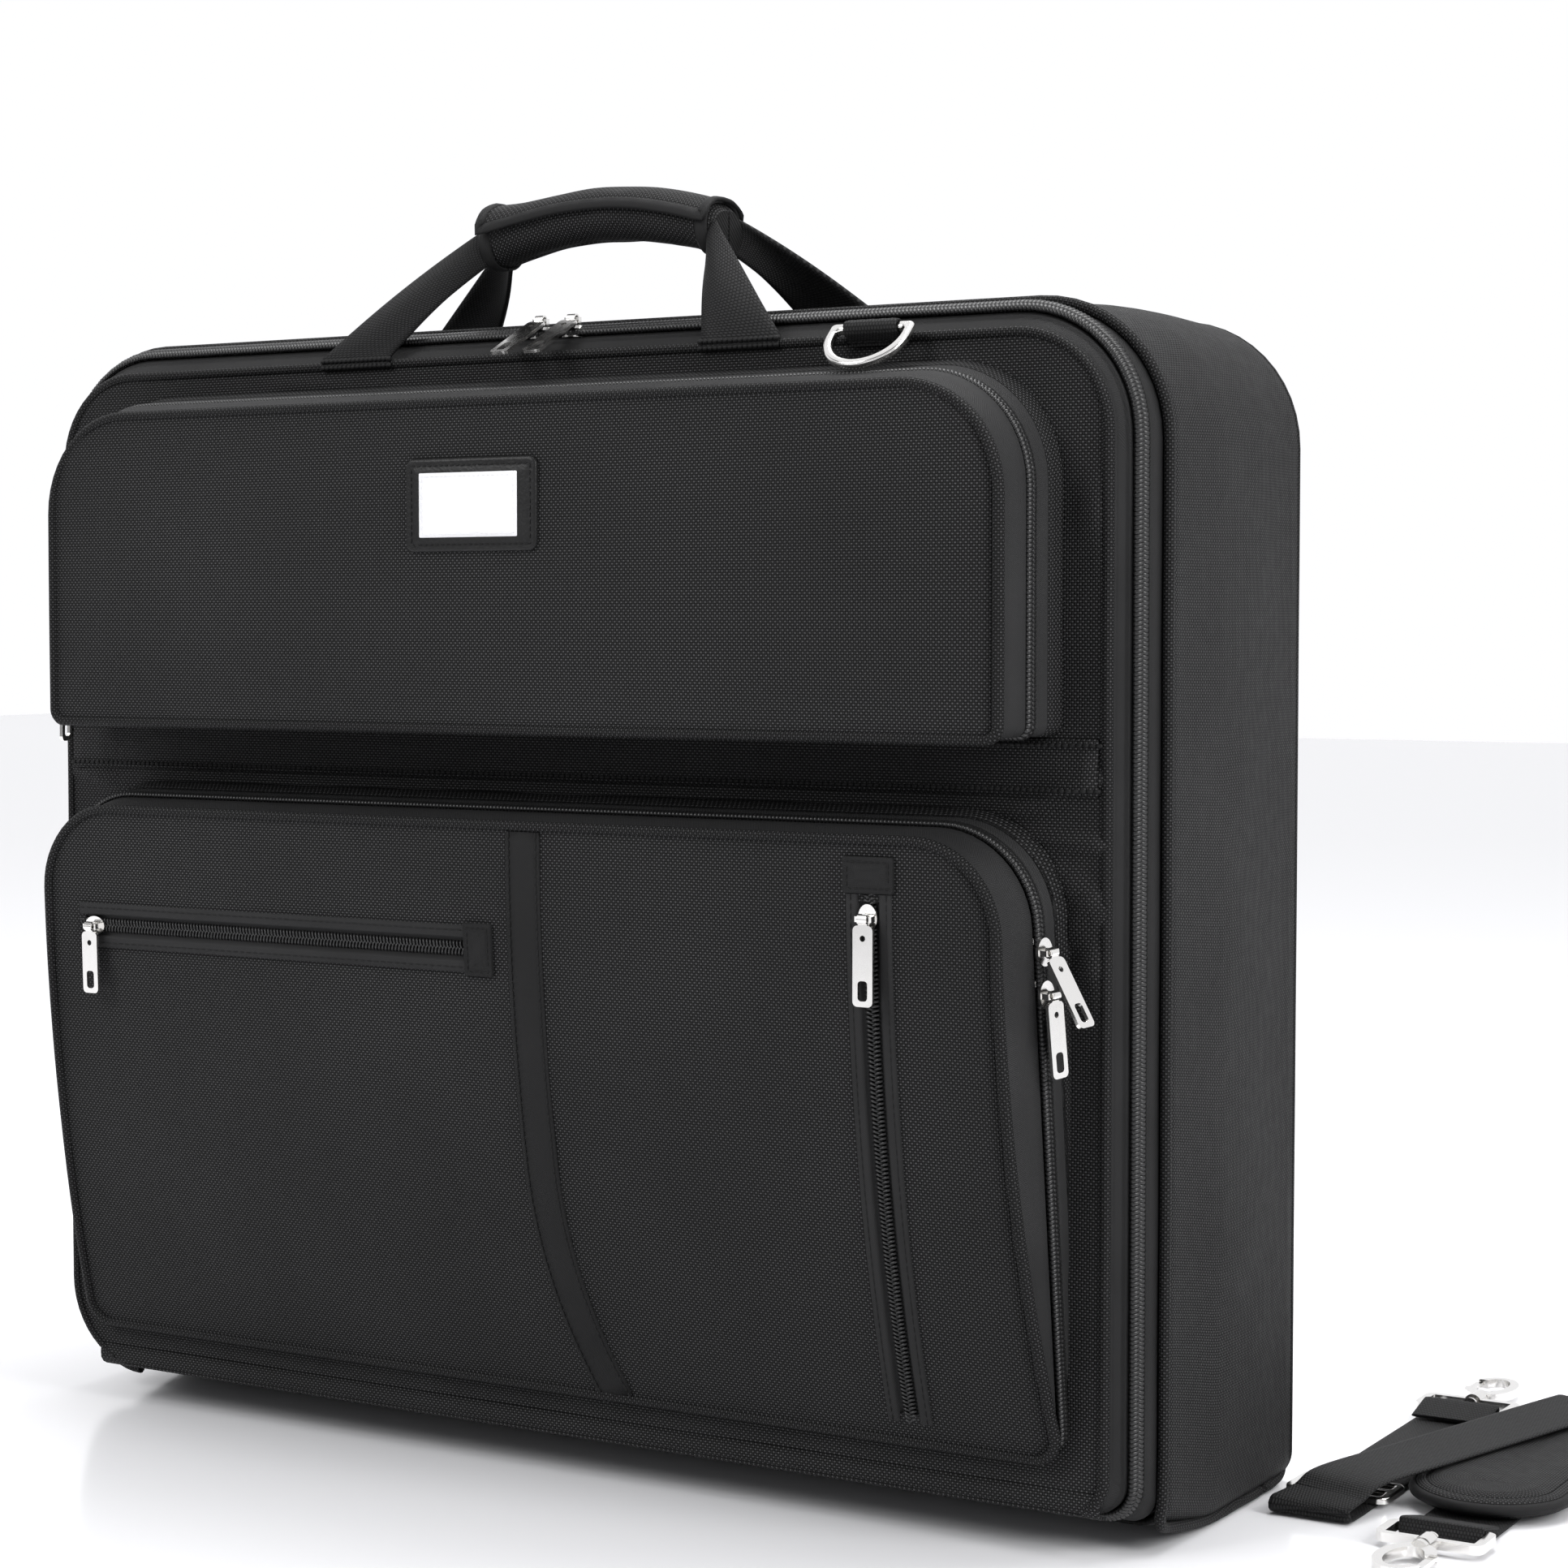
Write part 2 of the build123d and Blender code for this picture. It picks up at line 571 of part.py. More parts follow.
def ring_loop(place, width, tail):
    """A webbing loop round the bar, whose two layers are sewn down along -Y of the plane."""
    with BuildSketch(Plane(origin=place.origin, x_dir=place.y_dir, z_dir=place.x_dir)) as layers:
        Circle(WIRE + 1.6)
        with Locations((-tail / 2, 0)):
            Rectangle(tail, 2.8)
        Circle(WIRE + 0.3, mode=Mode.SUBTRACT)
    extrude(layers.sketch, amount=width / 2, both=True)


RIGHT_RING = Vector(181, -90, 522)  # the middle of each ring's bar
LEFT_RING = Vector(-315, -36, 366)

with BuildPart() as right_d_ring:
    d_ring(Plane(origin=RIGHT_RING, x_dir=(1, 0, 0), z_dir=Vector(0, 0.695, -0.719)))
    fillet(right_d_ring.edges(), 1.6)
keep(right_d_ring.part, "right_d_ring")

with BuildPart() as right_ring_loop:
    ring_loop(Plane(origin=RIGHT_RING, x_dir=(-1, 0, 0), z_dir=Vector(0, 0.95, 0.3)), 26, 6.5)
keep(right_ring_loop.part, "right_ring_loop")

with BuildPart() as left_d_ring:
    d_ring(Plane(origin=LEFT_RING, x_dir=(0, 1, 0), z_dir=Vector(-0.5, 0, 0.87)))
    fillet(left_d_ring.edges(), 1.6)
keep(left_d_ring.part, "left_d_ring")

with BuildPart() as left_ring_loop:
    ring_loop(Plane(origin=LEFT_RING, x_dir=(0, -1, 0), z_dir=(-1, 0, 0)), 26, 44)
keep(left_ring_loop.part, "left_ring_loop")

# ---- fittings inside the shell ----
HANGER_Z, HANGER_Y = 492, BACK - 9.4
CLAMP_PIN = Vector(0, HANGER_Y - 13, HANGER_Z + 8)

with BuildPart() as hanger_bracket:
    with BuildSketch(upright(HANGER_Y)):
        with Locations((0, HANGER_Z)):
            RectangleRounded(86, 44, 5)
        with Locations((-34, HANGER_Z), (34, HANGER_Z)):
            Circle(2.2, mode=Mode.SUBTRACT)
    extrude(amount=2.5)
    with BuildSketch(Plane.YZ.offset(-21)) as lug:
        with BuildLine():
            Polyline(
                (HANGER_Y - 2, HANGER_Z - 16),
                (HANGER_Y - 2, HANGER_Z + 16),
                (HANGER_Y - 17, HANGER_Z + 13),
                (HANGER_Y - 17, HANGER_Z + 2),
                close=True,
            )
        make_face()
    extrude(amount=3)
    extrude(lug.sketch.moved(Location((39, 0, 0))), amount=3)
    with BuildSketch(Plane.YZ.offset(-20)):
        with Locations((CLAMP_PIN.Y, CLAMP_PIN.Z)):
            Circle(2)
    extrude(amount=40)
keep(hanger_bracket.part, "hanger_bracket")

with BuildPart() as hanger_clamp:
    with BuildSketch(Plane.YZ.offset(-17.5)):
        with Locations((CLAMP_PIN.Y, CLAMP_PIN.Z)):
            Circle(4.2)
        with Locations((CLAMP_PIN.Y - 1.6, CLAMP_PIN.Z - 18)):
            RectangleRounded(4, 36, 1.5)
        with Locations((CLAMP_PIN.Y, CLAMP_PIN.Z)):
            Circle(2.06, mode=Mode.SUBTRACT)
    extrude(amount=35)
keep(hanger_clamp.part, "hanger_clamp")

with BuildPart() as garment_strap:
    with BuildSketch(upright(HANGER_Y)):
        with Locations((0, 210), (0, 380)):
            RectangleRounded(560, 25, 1)
    extrude(amount=1.2)
keep(garment_strap.part, "garment_strap")

with BuildPart() as garment_strap_buckles:
    with BuildSketch(upright(HANGER_Y - 1.4)):
        with Locations((60, 210), (60, 380)):
            RectangleRounded(46, 31, 5)
    extrude(amount=6)
    fillet(garment_strap_buckles.edges().group_by(Axis.Y)[0], 1.5)
keep(garment_strap_buckles.part, "garment_strap_buckles")

# ---- shoulder strap, folded on the floor beside the bag ----
PAD_X, RUN_X = 400, 338  # middles of its two straight runs
RUN_FRONT, RUN_BACK = 30, 246
THICK = 1.8
RING_Z = 4.6
PAD_LOW, PAD_HIGH = 2.6, 12.6

run_skew = Vector(RUN_X - PAD_X, RUN_FRONT - RUN_BACK, 0)
top_place = Plane(origin=(PAD_X, RUN_BACK, 0), x_dir=run_skew, z_dir=run_skew.cross(UP).normalized())

with BuildPart() as strap_webbing:
    with BuildSketch(Plane.YZ.offset(PAD_X - 19)):
        with Locations((RUN_BACK, 7.4)):
            Circle(7.2)
            Circle(5.4, mode=Mode.SUBTRACT)
            Rectangle(12, 16, align=(Align.MAX, Align.CENTER), mode=Mode.SUBTRACT)
        with Locations(((RUN_FRONT + RUN_BACK) / 2 - 3, 0.2 + THICK / 2)):
            Rectangle(RUN_BACK - RUN_FRONT + 6, THICK)
        with Locations((RUN_FRONT - 6, RING_Z)):
            Circle(4.4)
            Circle(2.95, mode=Mode.SUBTRACT)
    extrude(amount=38)
    with BuildSketch(Plane.YZ.offset(RUN_X - 19)):
        with Locations((RUN_FRONT, 4.0)):
            Circle(3.8)
            Circle(2.0, mode=Mode.SUBTRACT)
            Rectangle(8, 9, align=(Align.MIN, Align.CENTER), mode=Mode.SUBTRACT)
        with Locations(((RUN_FRONT + RUN_BACK) / 2 - 8, 0.2 + THICK / 2)):
            Rectangle(RUN_BACK - RUN_FRONT - 16, THICK)
        with Locations((RUN_BACK - 16, RING_Z)):
            Circle(4.4)
            Circle(2.95, mode=Mode.SUBTRACT)
        with Locations((RUN_FRONT + 1, 6.9)):
            Rectangle(3, 1.8)
    extrude(amount=38)
    with BuildSketch(top_place) as over:
        with BuildLine():
            Polyline(
                (-1, 12.8),
                (202, 12.8),
                (220, 6.0),
                (225, 6.0),
                (225, 7.8),
                (220.4, 7.8),
                (202.4, 14.6),
                (-1, 14.6),
                close=True,
            )
        make_face()
    extrude(amount=19, both=True)
keep(strap_webbing.part, "strap_webbing")

with BuildPart() as shoulder_pad:
    with BuildSketch(Plane.XY.offset(PAD_LOW)):
        with Locations((PAD_X, (RUN_FRONT + RUN_BACK) / 2 + 6)):
            SlotOverall(180, 72, rotation=90)
    extrude(amount=PAD_HIGH - PAD_LOW)
    fillet(shoulder_pad.edges().group_by(Axis.Z)[-1], 3.5)
keep(shoulder_pad.part, "shoulder_pad")

with BuildPart() as strap_adjuster:
    with BuildSketch(Plane.XY.offset(2.4)):
        with Locations((RUN_X, RUN_FRONT + 40)):
            RectangleRounded(49, 28, 5)
        with Locations((RUN_X, RUN_FRONT + 33.5), (RUN_X, RUN_FRONT + 46.5)):
            RectangleRounded(40.5, 8, 1.5, mode=Mode.SUBTRACT)
    extrude(amount=3)
    fillet(strap_adjuster.edges().group_by(Axis.Z)[-1], 1)
keep(strap_adjuster.part, "strap_adjuster")


def strap_ring(place):
    """A square ring whose near bar holds the webbing and whose far bar carries the swivel barrel."""
    flat = Plane(place).offset(RING_Z - 2)
    with BuildSketch(flat) as ring:
        with Locations((0, 10)):
            RectangleRounded(48, 24, 5)
            RectangleRounded(39.5, 16, 0.6, mode=Mode.SUBTRACT)
    extrude(ring.sketch, amount=4)
    with BuildSketch(Plane(place * Location((0, 18.5, RING_Z), (-90, 0, 0)))) as barrel:
        Circle(4.4)
    extrude(barrel.sketch, amount=9.5)
    with BuildSketch(Plane(place * Location((0, 15, RING_Z), (-90, 0, 0)))) as bore:
        Circle(2.05)
    extrude(bore.sketch, amount=16, mode=Mode.SUBTRACT)


def strap_hook(place):
    """A swivel snap hook: stem, collar and a teardrop bow that is open where the gate closes it."""
    turned = Plane(place * Location((0, 14.4, RING_Z), (-90, 0, 0)))
    with BuildSketch(turned) as head:
        Circle(3.4)
    extrude(head.sketch, amount=1.4)
    with BuildSketch(turned) as stem:
        Circle(2)
    extrude(stem.sketch, amount=15)
    with BuildSketch(turned.offset(13.8)) as collar:
        Circle(4)
    extrude(collar.sketch, amount=3.4)
    with BuildSketch(Plane(place).offset(RING_Z - 2.2)) as bow:
        with Locations((0, 49)):
            Ellipse(12.5, 20)
        with Locations((0, 50.5)):
            Ellipse(7.6, 14.5, mode=Mode.SUBTRACT)
        with Locations((-9.7, 51.5)):
            Rectangle(8.4, 17, mode=Mode.SUBTRACT)
    extrude(bow.sketch, amount=4.4)
    with BuildSketch(Plane(place).offset(RING_Z - 1.15)) as slot:
        with Locations((-10.5, 42)):
            Circle(3.9)
    extrude(slot.sketch, amount=2.3, mode=Mode.SUBTRACT)
    with BuildSketch(Plane(place).offset(RING_Z - 2)) as pin:
        with Locations((-10.2, 41.6)):
            Circle(0.8)
    extrude(pin.sketch, amount=4)


def hook_gate(place):
    """The sprung gate, on a pin in the hook's side."""
    with BuildSketch(Plane(place).offset(RING_Z - 1)) as bar:
        with Locations((-10.2, 41.6)):
            Circle(1.9)
        with Locations((-9.7, 50.4)):
            RectangleRounded(3.4, 17.8, 0.8)
        with Locations((-10.2, 41.6)):
            Circle(0.85, mode=Mode.SUBTRACT)
    extrude(bar.sketch, amount=2)


HOOK_AT = {
    "front": Location((PAD_X, RUN_FRONT - 6, 0), (0, 0, 180)),
    "back": Location((RUN_X, RUN_BACK - 16, 0)),
}

with BuildPart() as strap_rings:
    for place in HOOK_AT.values():
        strap_ring(place)
keep(strap_rings.part, "strap_rings")

for name, place in HOOK_AT.items():
    with BuildPart() as snap_hook:
        strap_hook(place)
    keep(snap_hook.part, f"{name}_snap_hook")
    with BuildPart() as snap_gate:
        hook_gate(place)
    keep(snap_gate.part, f"{name}_hook_gate")
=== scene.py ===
import json
import math

import bpy
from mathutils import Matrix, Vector, noise


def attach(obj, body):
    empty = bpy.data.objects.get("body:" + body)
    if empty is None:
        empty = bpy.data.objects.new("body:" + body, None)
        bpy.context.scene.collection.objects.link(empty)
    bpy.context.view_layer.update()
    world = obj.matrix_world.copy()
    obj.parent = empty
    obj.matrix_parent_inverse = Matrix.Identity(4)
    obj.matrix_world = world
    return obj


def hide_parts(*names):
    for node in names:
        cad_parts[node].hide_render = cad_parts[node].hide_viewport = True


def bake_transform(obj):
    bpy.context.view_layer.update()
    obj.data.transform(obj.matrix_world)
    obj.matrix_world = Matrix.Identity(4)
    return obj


# A bi-fold garment bag and its shoulder strap. Shapes are worked out in millimetres, in the
# frame's axes: X across, -Y the front, Z up. They become metres when a mesh is made.

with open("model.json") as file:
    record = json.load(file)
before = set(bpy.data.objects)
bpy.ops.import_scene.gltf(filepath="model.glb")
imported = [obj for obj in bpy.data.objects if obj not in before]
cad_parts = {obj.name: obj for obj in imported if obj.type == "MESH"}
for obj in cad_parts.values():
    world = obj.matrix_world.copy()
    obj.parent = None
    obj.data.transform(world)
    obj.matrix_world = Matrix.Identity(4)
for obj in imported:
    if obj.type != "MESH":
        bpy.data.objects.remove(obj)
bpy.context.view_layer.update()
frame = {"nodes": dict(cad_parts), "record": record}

MM = 0.001
X, Y, Z = Vector((1, 0, 0)), Vector((0, 1, 0)), Vector((0, 0, 1))

# ---- driving sizes, as in the frame ----
FRONT, ZIP_Y, RIM, BACK = -83, -69, -56, 83
SHELL_HALF, ZIP_HALF, LID_HALF, TOP = 308, 298, 288, 535
POCKET_FACE, UP_ZIP_Y = -126, -105
BAND_LOW, BAND_HIGH = 323, 348
HINGE_GAP = 228  # half of the bottom edge, where the halves are joined by a strip and not a zipper
TOOTH_PITCH = 1.9
TOOTH_SIDES = 5  # of the section of a tooth or a stitch
SETTLED = 0.38  # the lower right corners have settled to this share of the left ones' radius
SHARP = 15  # but corners of a smaller radius are alike on both sides

# outlines are (depth, half width, low, high, top corner radius, bottom corner radius)
SHELL_RIM = (RIM, 305, 11, TOP - 2, 60, 36)
SHELL_BELLY = (-8, 307, 0, TOP, 61, 35.5)
SHELL_REAR = (BACK - 6, SHELL_HALF, 0, TOP, 60, 35)
MAIN_CHAIN = (ZIP_Y - 1, ZIP_HALF - 0.4, 17.6, TOP - 5, 55.4, 37.4)
SHELL_TAPE_END = (RIM - 3.5, 302.5, 13.6, TOP - 4.4, 57.5, 33.5)
LID_EDGE = (FRONT + 1, LID_HALF, 21, TOP - 17.5, 42, 41)
UP_BASE = (FRONT - 0.2, 269, 349, 508, 52, 5)
UP_FACE = (POCKET_FACE, 259, 348.5, 495, 46, 5.5)
LOW_BASE = (FRONT - 0.2, 273, 43, 318, 44, 12)
LOW_FRONT = (FRONT - 60, 257, 42, 302, 38, 13)
UP_MIDDLE, LOW_MIDDLE = 425, 180  # the middle heights of the two pockets


# ---- shapes ----
def blend_outline(a, b, share):
    """The outline part of the way from one to another."""
    return tuple(p + share * (q - p) for p, q in zip(a, b))


def at_depth(a, b, y):
    """The outline at depth y, between two others or beyond them."""
    return blend_outline(a, b, (y - a[0]) / (b[0] - a[0]))


def spread(start, end, count):
    """Evenly spaced values from start to end, both included."""
    return [start + (end - start) * i / count for i in range(count + 1)]


def settled(radius):
    """The lower right corner's radius, by the lower left one's."""
    return radius * SETTLED if radius > SHARP else radius


def ring(section, grow=0.0, arc=12, upright=44, level=52):
    """Points round an outline, anticlockwise seen from the front, from its bottom right corner."""
    y, half, low, high, r_high, r_low = section
    half, low, high, r_high, r_low = half + grow, low - grow, high + grow, r_high + grow, r_low + grow
    r_right = settled(r_low)
    corners = (
        (half - r_right, low + r_right, r_right, -90, upright),
        (half - r_high, high - r_high, r_high, 0, level),
        (-half + r_high, high - r_high, r_high, 90, upright),
        (-half + r_low, low + r_low, r_low, 180, level),
    )
    bends = [
        [
            Vector((x + r * math.cos(math.radians(turn + 90 * i / arc)), y,
                    z + r * math.sin(math.radians(turn + 90 * i / arc))))
            for i in range(arc + 1)
        ]
        for x, z, r, turn, _ in corners
    ]
    points = []
    for bend, after, (*_, count) in zip(bends, bends[1:] + bends[:1], corners):
        points += bend + [bend[-1].lerp(after[0], i / count) for i in range(1, count)]
    return points


def without_bottom(points, gap):
    """The ring as an open line that starts and ends either side of a gap in its bottom edge."""
    low = min(p.z for p in points)
    kept = [p for p in points if abs(p.x) > gap or p.z > low + 6]
    tail = [p for p in kept[len(kept) // 2:] if p.x > 0 and p.z < low + 6]
    return tail + [p for p in kept if p not in tail]


def tangents(path, closed):
    """The way along a line at each of its points."""
    count = len(path)
    if closed:
        return [(path[(i + 1) % count] - path[i - 1]).normalized() for i in range(count)]
    return [(path[min(i + 1, count - 1)] - path[max(i - 1, 0)]).normalized() for i in range(count)]


def resample(path, ups, pitch):
    """Evenly spaced frames (point, along, up) on a line."""
    frames, left = [], 0.0
    for a, b, up_a, up_b in zip(path, path[1:], ups, ups[1:]):
        run = b - a
        while left < run.length:
            share = left / run.length
            frames.append((a + run * share, run.normalized(), up_a.lerp(up_b, share).normalized()))
            left += pitch
        left -= run.length
    return frames


def curve(points, count):
    """A smooth line through a few points."""
    ends = [points[0] * 2 - points[1]] + points + [points[-1] * 2 - points[-2]]
    line = []
    for i in range(len(points) - 1):
        a, b, c, d = ends[i:i + 4]
        for t in spread(0, 1, count)[: count + (i == len(points) - 2)]:
            line.append(
                0.5 * (2 * b + (c - a) * t + (2 * a - 5 * b + 4 * c - d) * t**2 + (3 * b - a - 3 * c + d) * t**3)
            )
    return line


def ripple(p, size, seed=0.0):
    """Smooth noise between about -1 and 1, for the uneven lie of cloth."""
    return noise.noise(p / size + Vector((seed, seed * 1.7, -seed)))


class Shape:
    """Surfaces gathered into one mesh."""

    def __init__(self):
        self.points, self.faces, self.uv, self.parts = [], [], [], []

    def add_face(self, corners, uv, part):
        self.faces.append(corners)
        self.uv += uv
        self.parts.append(part)

    def surface(self, rows, closed=False, part=0, flat=False, hole=None):
        """Quads between rows of points. The UV runs along and across them, or is (x, z) if flat."""
        first, count = len(self.points), len(rows[0])
        middle = rows[len(rows) // 2]
        along, across = [0.0], [0.0]
        for i in range(count):
            along.append(along[-1] + (middle[(i + 1) % count] - middle[i]).length)
        for a, b in zip(rows, rows[1:]):
            across.append(across[-1] + sum((q - p).length for p, q in zip(a, b)) / count)
        for row in rows:
            self.points += row
        for j in range(len(rows) - 1):
            for i in range(count if closed else count - 1):
                k = (i + 1) % count
                quad = (rows[j][i], rows[j][k], rows[j + 1][k], rows[j + 1][i])
                if hole and hole(sum(quad, Vector()) / 4):
                    continue
                if flat:
                    uv = [(p.x, p.z) for p in quad]
                else:
                    uv = [(along[a], across[b]) for a, b in ((i, j), (i + 1, j), (i + 1, j + 1), (i, j + 1))]
                start = first + j * count
                self.add_face((start + i, start + k, start + count + k, start + count + i), uv, part)

    def cap(self, points, part=0):
        """One flat face round a ring of points."""
        first = len(self.points)
        self.points += points
        self.add_face(tuple(range(first, first + len(points))), [(p.x, p.y + p.z) for p in points], part)

    def sweep(self, path, ups, section, closed=False, part=0):
        """A section of (across, up) points carried along a line. The UV runs along it and round it."""
        rows = []
        for p, along, up in zip(path, tangents(path, closed), ups):
            side = along.cross(up).normalized()
            up = side.cross(along)
            rows.append([p + side * a + up * b for a, b in section])
        if closed:
            rows.append(list(rows[0]))
        self.surface(rows, closed=True, part=part)
        if not closed:
            self.cap(rows[0], part)
            self.cap(rows[-1], part)

    def strand(self, spine, wide, tall, part):
        """A short thread along a line; wide and tall are its half widths, as vectors."""
        turns = [math.tau * i / TOOTH_SIDES for i in range(TOOTH_SIDES)]
        rows = [[q + wide * math.cos(a) + tall * math.sin(a) for a in turns] for q in spine]
        self.surface(rows, closed=True, part=part)

    def teeth(self, path, ups, side, part=1):
        """One row of coil teeth, lying across the line on one side of it."""
        # each tooth's spine, from its root to its head: (across, up, along)
        rib = ((3.3, -0.6, -0.1), (2.8, 0.4, 0), (1.4, 0.75, 0.35), (0.1, 0.55, 0.8), (-0.7, -0.2, 1.0))
        for p, along, up in resample(path, ups, TOOTH_PITCH):
            across = along.cross(up) * side
            spine = [p + across * a + up * h + along * (s * 0.9 + side * TOOTH_PITCH / 4) for a, h, s in rib]
            self.strand(spine, along * 0.62, (up * 0.9 + across * 0.3) * 0.55, part)

    def stitches(self, path, ups, part=1, length=3.0, gap=1.0, height=0.1):
        """A row of stitches lying on a surface, each with its ends drawn into the cloth."""
        arch = ((0, -0.3), (0.25, 0.12), (0.75, 0.12), (1, -0.3))
        for p, along, up in resample(path, ups, length + gap):
            spine = [p + along * length * share + up * (height + lift) for share, lift in arch]
            self.strand(spine, along.cross(up) * 0.24, up * 0.2, part)

    def make(self, name, materials, thick=0.0, outward=None):
        """The object, in metres. thick gives cloth its thickness, inwards from the side that looks outward."""
        mesh = bpy.data.meshes.new(name)
        mesh.from_pydata([p * MM for p in self.points], [], self.faces)
        layer = mesh.uv_layers.new(name="UVMap")
        layer.data.foreach_set("uv", [value * MM for pair in self.uv for value in pair])
        mesh.polygons.foreach_set("use_smooth", [True] * len(self.faces))
        mesh.polygons.foreach_set("material_index", self.parts)
        for material in materials:
            mesh.materials.append(material)
        mesh.update()
        if outward is not None:
            facing = sum(f.area * f.normal.dot(outward(f.center / MM)) for f in mesh.polygons)
            if facing < 0:
                mesh.flip_normals()
        obj = bpy.data.objects.new(name, mesh)
        bpy.context.scene.collection.objects.link(obj)
        if thick:
            solid = obj.modifiers.new("thickness", "SOLIDIFY")
            solid.thickness, solid.offset = thick * MM, -1
        return obj


def place(obj, body, slot, *nodes):
    """Ties a finished piece to its body and hides the frame nodes it stands for. The slot is not used."""
    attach(obj, body)
    if nodes:
        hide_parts(*nodes)


def from_axis(p):
    """Away from the bag's middle, square to Y."""
    return Vector((p.x, 0, p.z - TOP / 2)).normalized()


def to_front(_):
    """The way that every flat panel of the front looks."""
    return -Y


def round_section(radius, sides=8):
    """A cord's section."""
    return [(radius * math.cos(math.tau * i / sides), radius * math.sin(math.tau * i / sides)) for i in range(sides)]


def strap_section(half, thick, ribs=7):
    """A woven strap's section: rounded edges and a few soft ribs."""
    t = thick / 2
    top = [(half * (1 - 2 * i / (2 * ribs)), t * (1 if i % 2 else 0.86)) for i in range(1, 2 * ribs)]
    edge = [(half, 0), (half - 0.15 * thick, 0.62 * t)]
    far = [(-half + 0.15 * thick, 0.62 * t), (-half, 0), (-half + 0.15 * thick, -0.62 * t)]
    return edge + top + far + [(a, -b) for a, b in reversed(top)] + [(half - 0.15 * thick, -0.62 * t)]


# ---- materials ----
class Graph:
    """The nodes of a material or a world, built from small expressions."""

    def __init__(self, owner):
        owner.use_nodes = True
        self.owner, self.tree = owner, owner.node_tree

    def feed(self, node, inputs):
        """Links each input that is given a socket, and sets each that is given a value."""
        for key, value in inputs.items():
            if isinstance(value, bpy.types.NodeSocket):
                self.tree.links.new(value, node.inputs[key])
            else:
                node.inputs[key].default_value = value
        return node

    def node(self, kind, inputs=(), **settings):
        node = self.tree.nodes.new(kind)
        for key, value in settings.items():
            setattr(node, key, value)
        return self.feed(node, dict(inputs))

    def math(self, operation, a, b=0.0, c=0.0):
        return self.node("ShaderNodeMath", {0: a, 1: b, 2: c}, operation=operation).outputs[0]

    def mix(self, share, a, b):
        node = self.node("ShaderNodeMix", {"Factor": share, 6: a, 7: b}, data_type="RGBA")
        return node.outputs[2]

    def uv(self, scale):
        """The two UV directions, in threads of this many metres."""
        uv = self.node("ShaderNodeUVMap", uv_map="UVMap").outputs[0]
        split = self.node("ShaderNodeSeparateXYZ", {0: uv})
        return [self.math("DIVIDE", split.outputs[i], scale) for i in (0, 1)]

    def noise(self, scale, detail=2.0):
        place = self.node("ShaderNodeTexCoord").outputs["Object"]
        return self.node("ShaderNodeTexNoise", {"Vector": place, "Scale": scale, "Detail": detail}).outputs["Fac"]

    def hump(self, value):
        """0 at each whole number and 1 halfway between."""
        return self.math("ABSOLUTE", self.math("SINE", self.math("MULTIPLY", value, math.pi)))

    def bump(self, height, depth, strength=1.0):
        """Raises the surface by up to depth millimetres where height is 1."""
        node = self.node("ShaderNodeBump", {"Height": height, "Distance": depth * MM, "Strength": strength})
        self.feed(self.tree.nodes["Principled BSDF"], {"Normal": node.outputs[0]})

    def finish(self, colour, roughness, specular=0.5, metallic=0.0):
        """Sets the shader's inputs and returns the material."""
        inputs = {"Base Color": colour, "Roughness": roughness, "Specular IOR Level": specular, "Metallic": metallic}
        self.feed(self.tree.nodes["Principled BSDF"], inputs)
        return self.owner


def material(name):
    return Graph(bpy.data.materials.new(name))


def grey(value):
    """A faintly cool grey."""
    return (value, value, value * 1.02, 1)


CLOTH_SHINE = 0.13


def basket_weave(name, pitch, dark, light, depth, roughness=0.6):
    """Two threads that pass over and under each other in turn."""
    g = material(name)
    u, v = g.uv(pitch * MM)
    cell = g.math("ADD", g.math("FLOOR", u), g.math("FLOOR", v))
    over = g.math("MODULO", g.math("ABSOLUTE", cell), 2.0)
    along = g.math("MULTIPLY", g.hump(v), g.math("MULTIPLY_ADD", g.hump(u), 0.45, 0.55))
    across = g.math("MULTIPLY", g.hump(u), g.math("MULTIPLY_ADD", g.hump(v), 0.45, 0.55))
    under = g.math("SUBTRACT", 1.0, over)
    height = g.math("ADD", g.math("MULTIPLY", along, over), g.math("MULTIPLY", across, under))
    # Painted light: the colour follows the weave's height. The thread crowns get a painted sheen, strongest on the
    # cells where a thread lies over, and the gaps between threads get a painted shade. The noise varies the strength
    # of that painted sheen at random.
    uneven_sheen = g.math("MULTIPLY_ADD", g.noise(9), 0.5, -0.12)
    tone = g.math("MULTIPLY", g.math("POWER", height, 2.6), g.math("MULTIPLY_ADD", over, 0.85, 0.25))
    g.bump(height, depth, 0.9)
    colour = g.mix(g.math("MULTIPLY", tone, g.math("ADD", uneven_sheen, 0.62)), grey(dark), grey(light))
    rough = g.math("MULTIPLY_ADD", g.noise(140), 0.16, roughness - 0.08)
    return g.finish(colour, rough, CLOTH_SHINE)


def twill(name, pitch, dark, light, depth, zigzag=0.0, roughness=0.6):
    """Slanting ribs, which turn back at every zigzag threads."""
    g = material(name)
    u, v = g.uv(pitch * MM)
    if zigzag:
        v = g.math("PINGPONG", v, zigzag)
    height = g.hump(g.math("ADD", u, v))
    fine = g.hump(g.math("MULTIPLY", g.math("SUBTRACT", u, v), 1.6))
    height = g.math("MULTIPLY_ADD", fine, 0.3, height)
    g.bump(height, depth, 0.8)
    # Painted light: the colour follows the ribs' height, with a painted highlight on the ribs and a painted shade in
    # the grooves between them.
    colour = g.mix(g.math("MULTIPLY", height, g.math("MULTIPLY_ADD", g.noise(20), 0.5, 0.4)), grey(dark), grey(light))
    return g.finish(colour, roughness, CLOTH_SHINE)


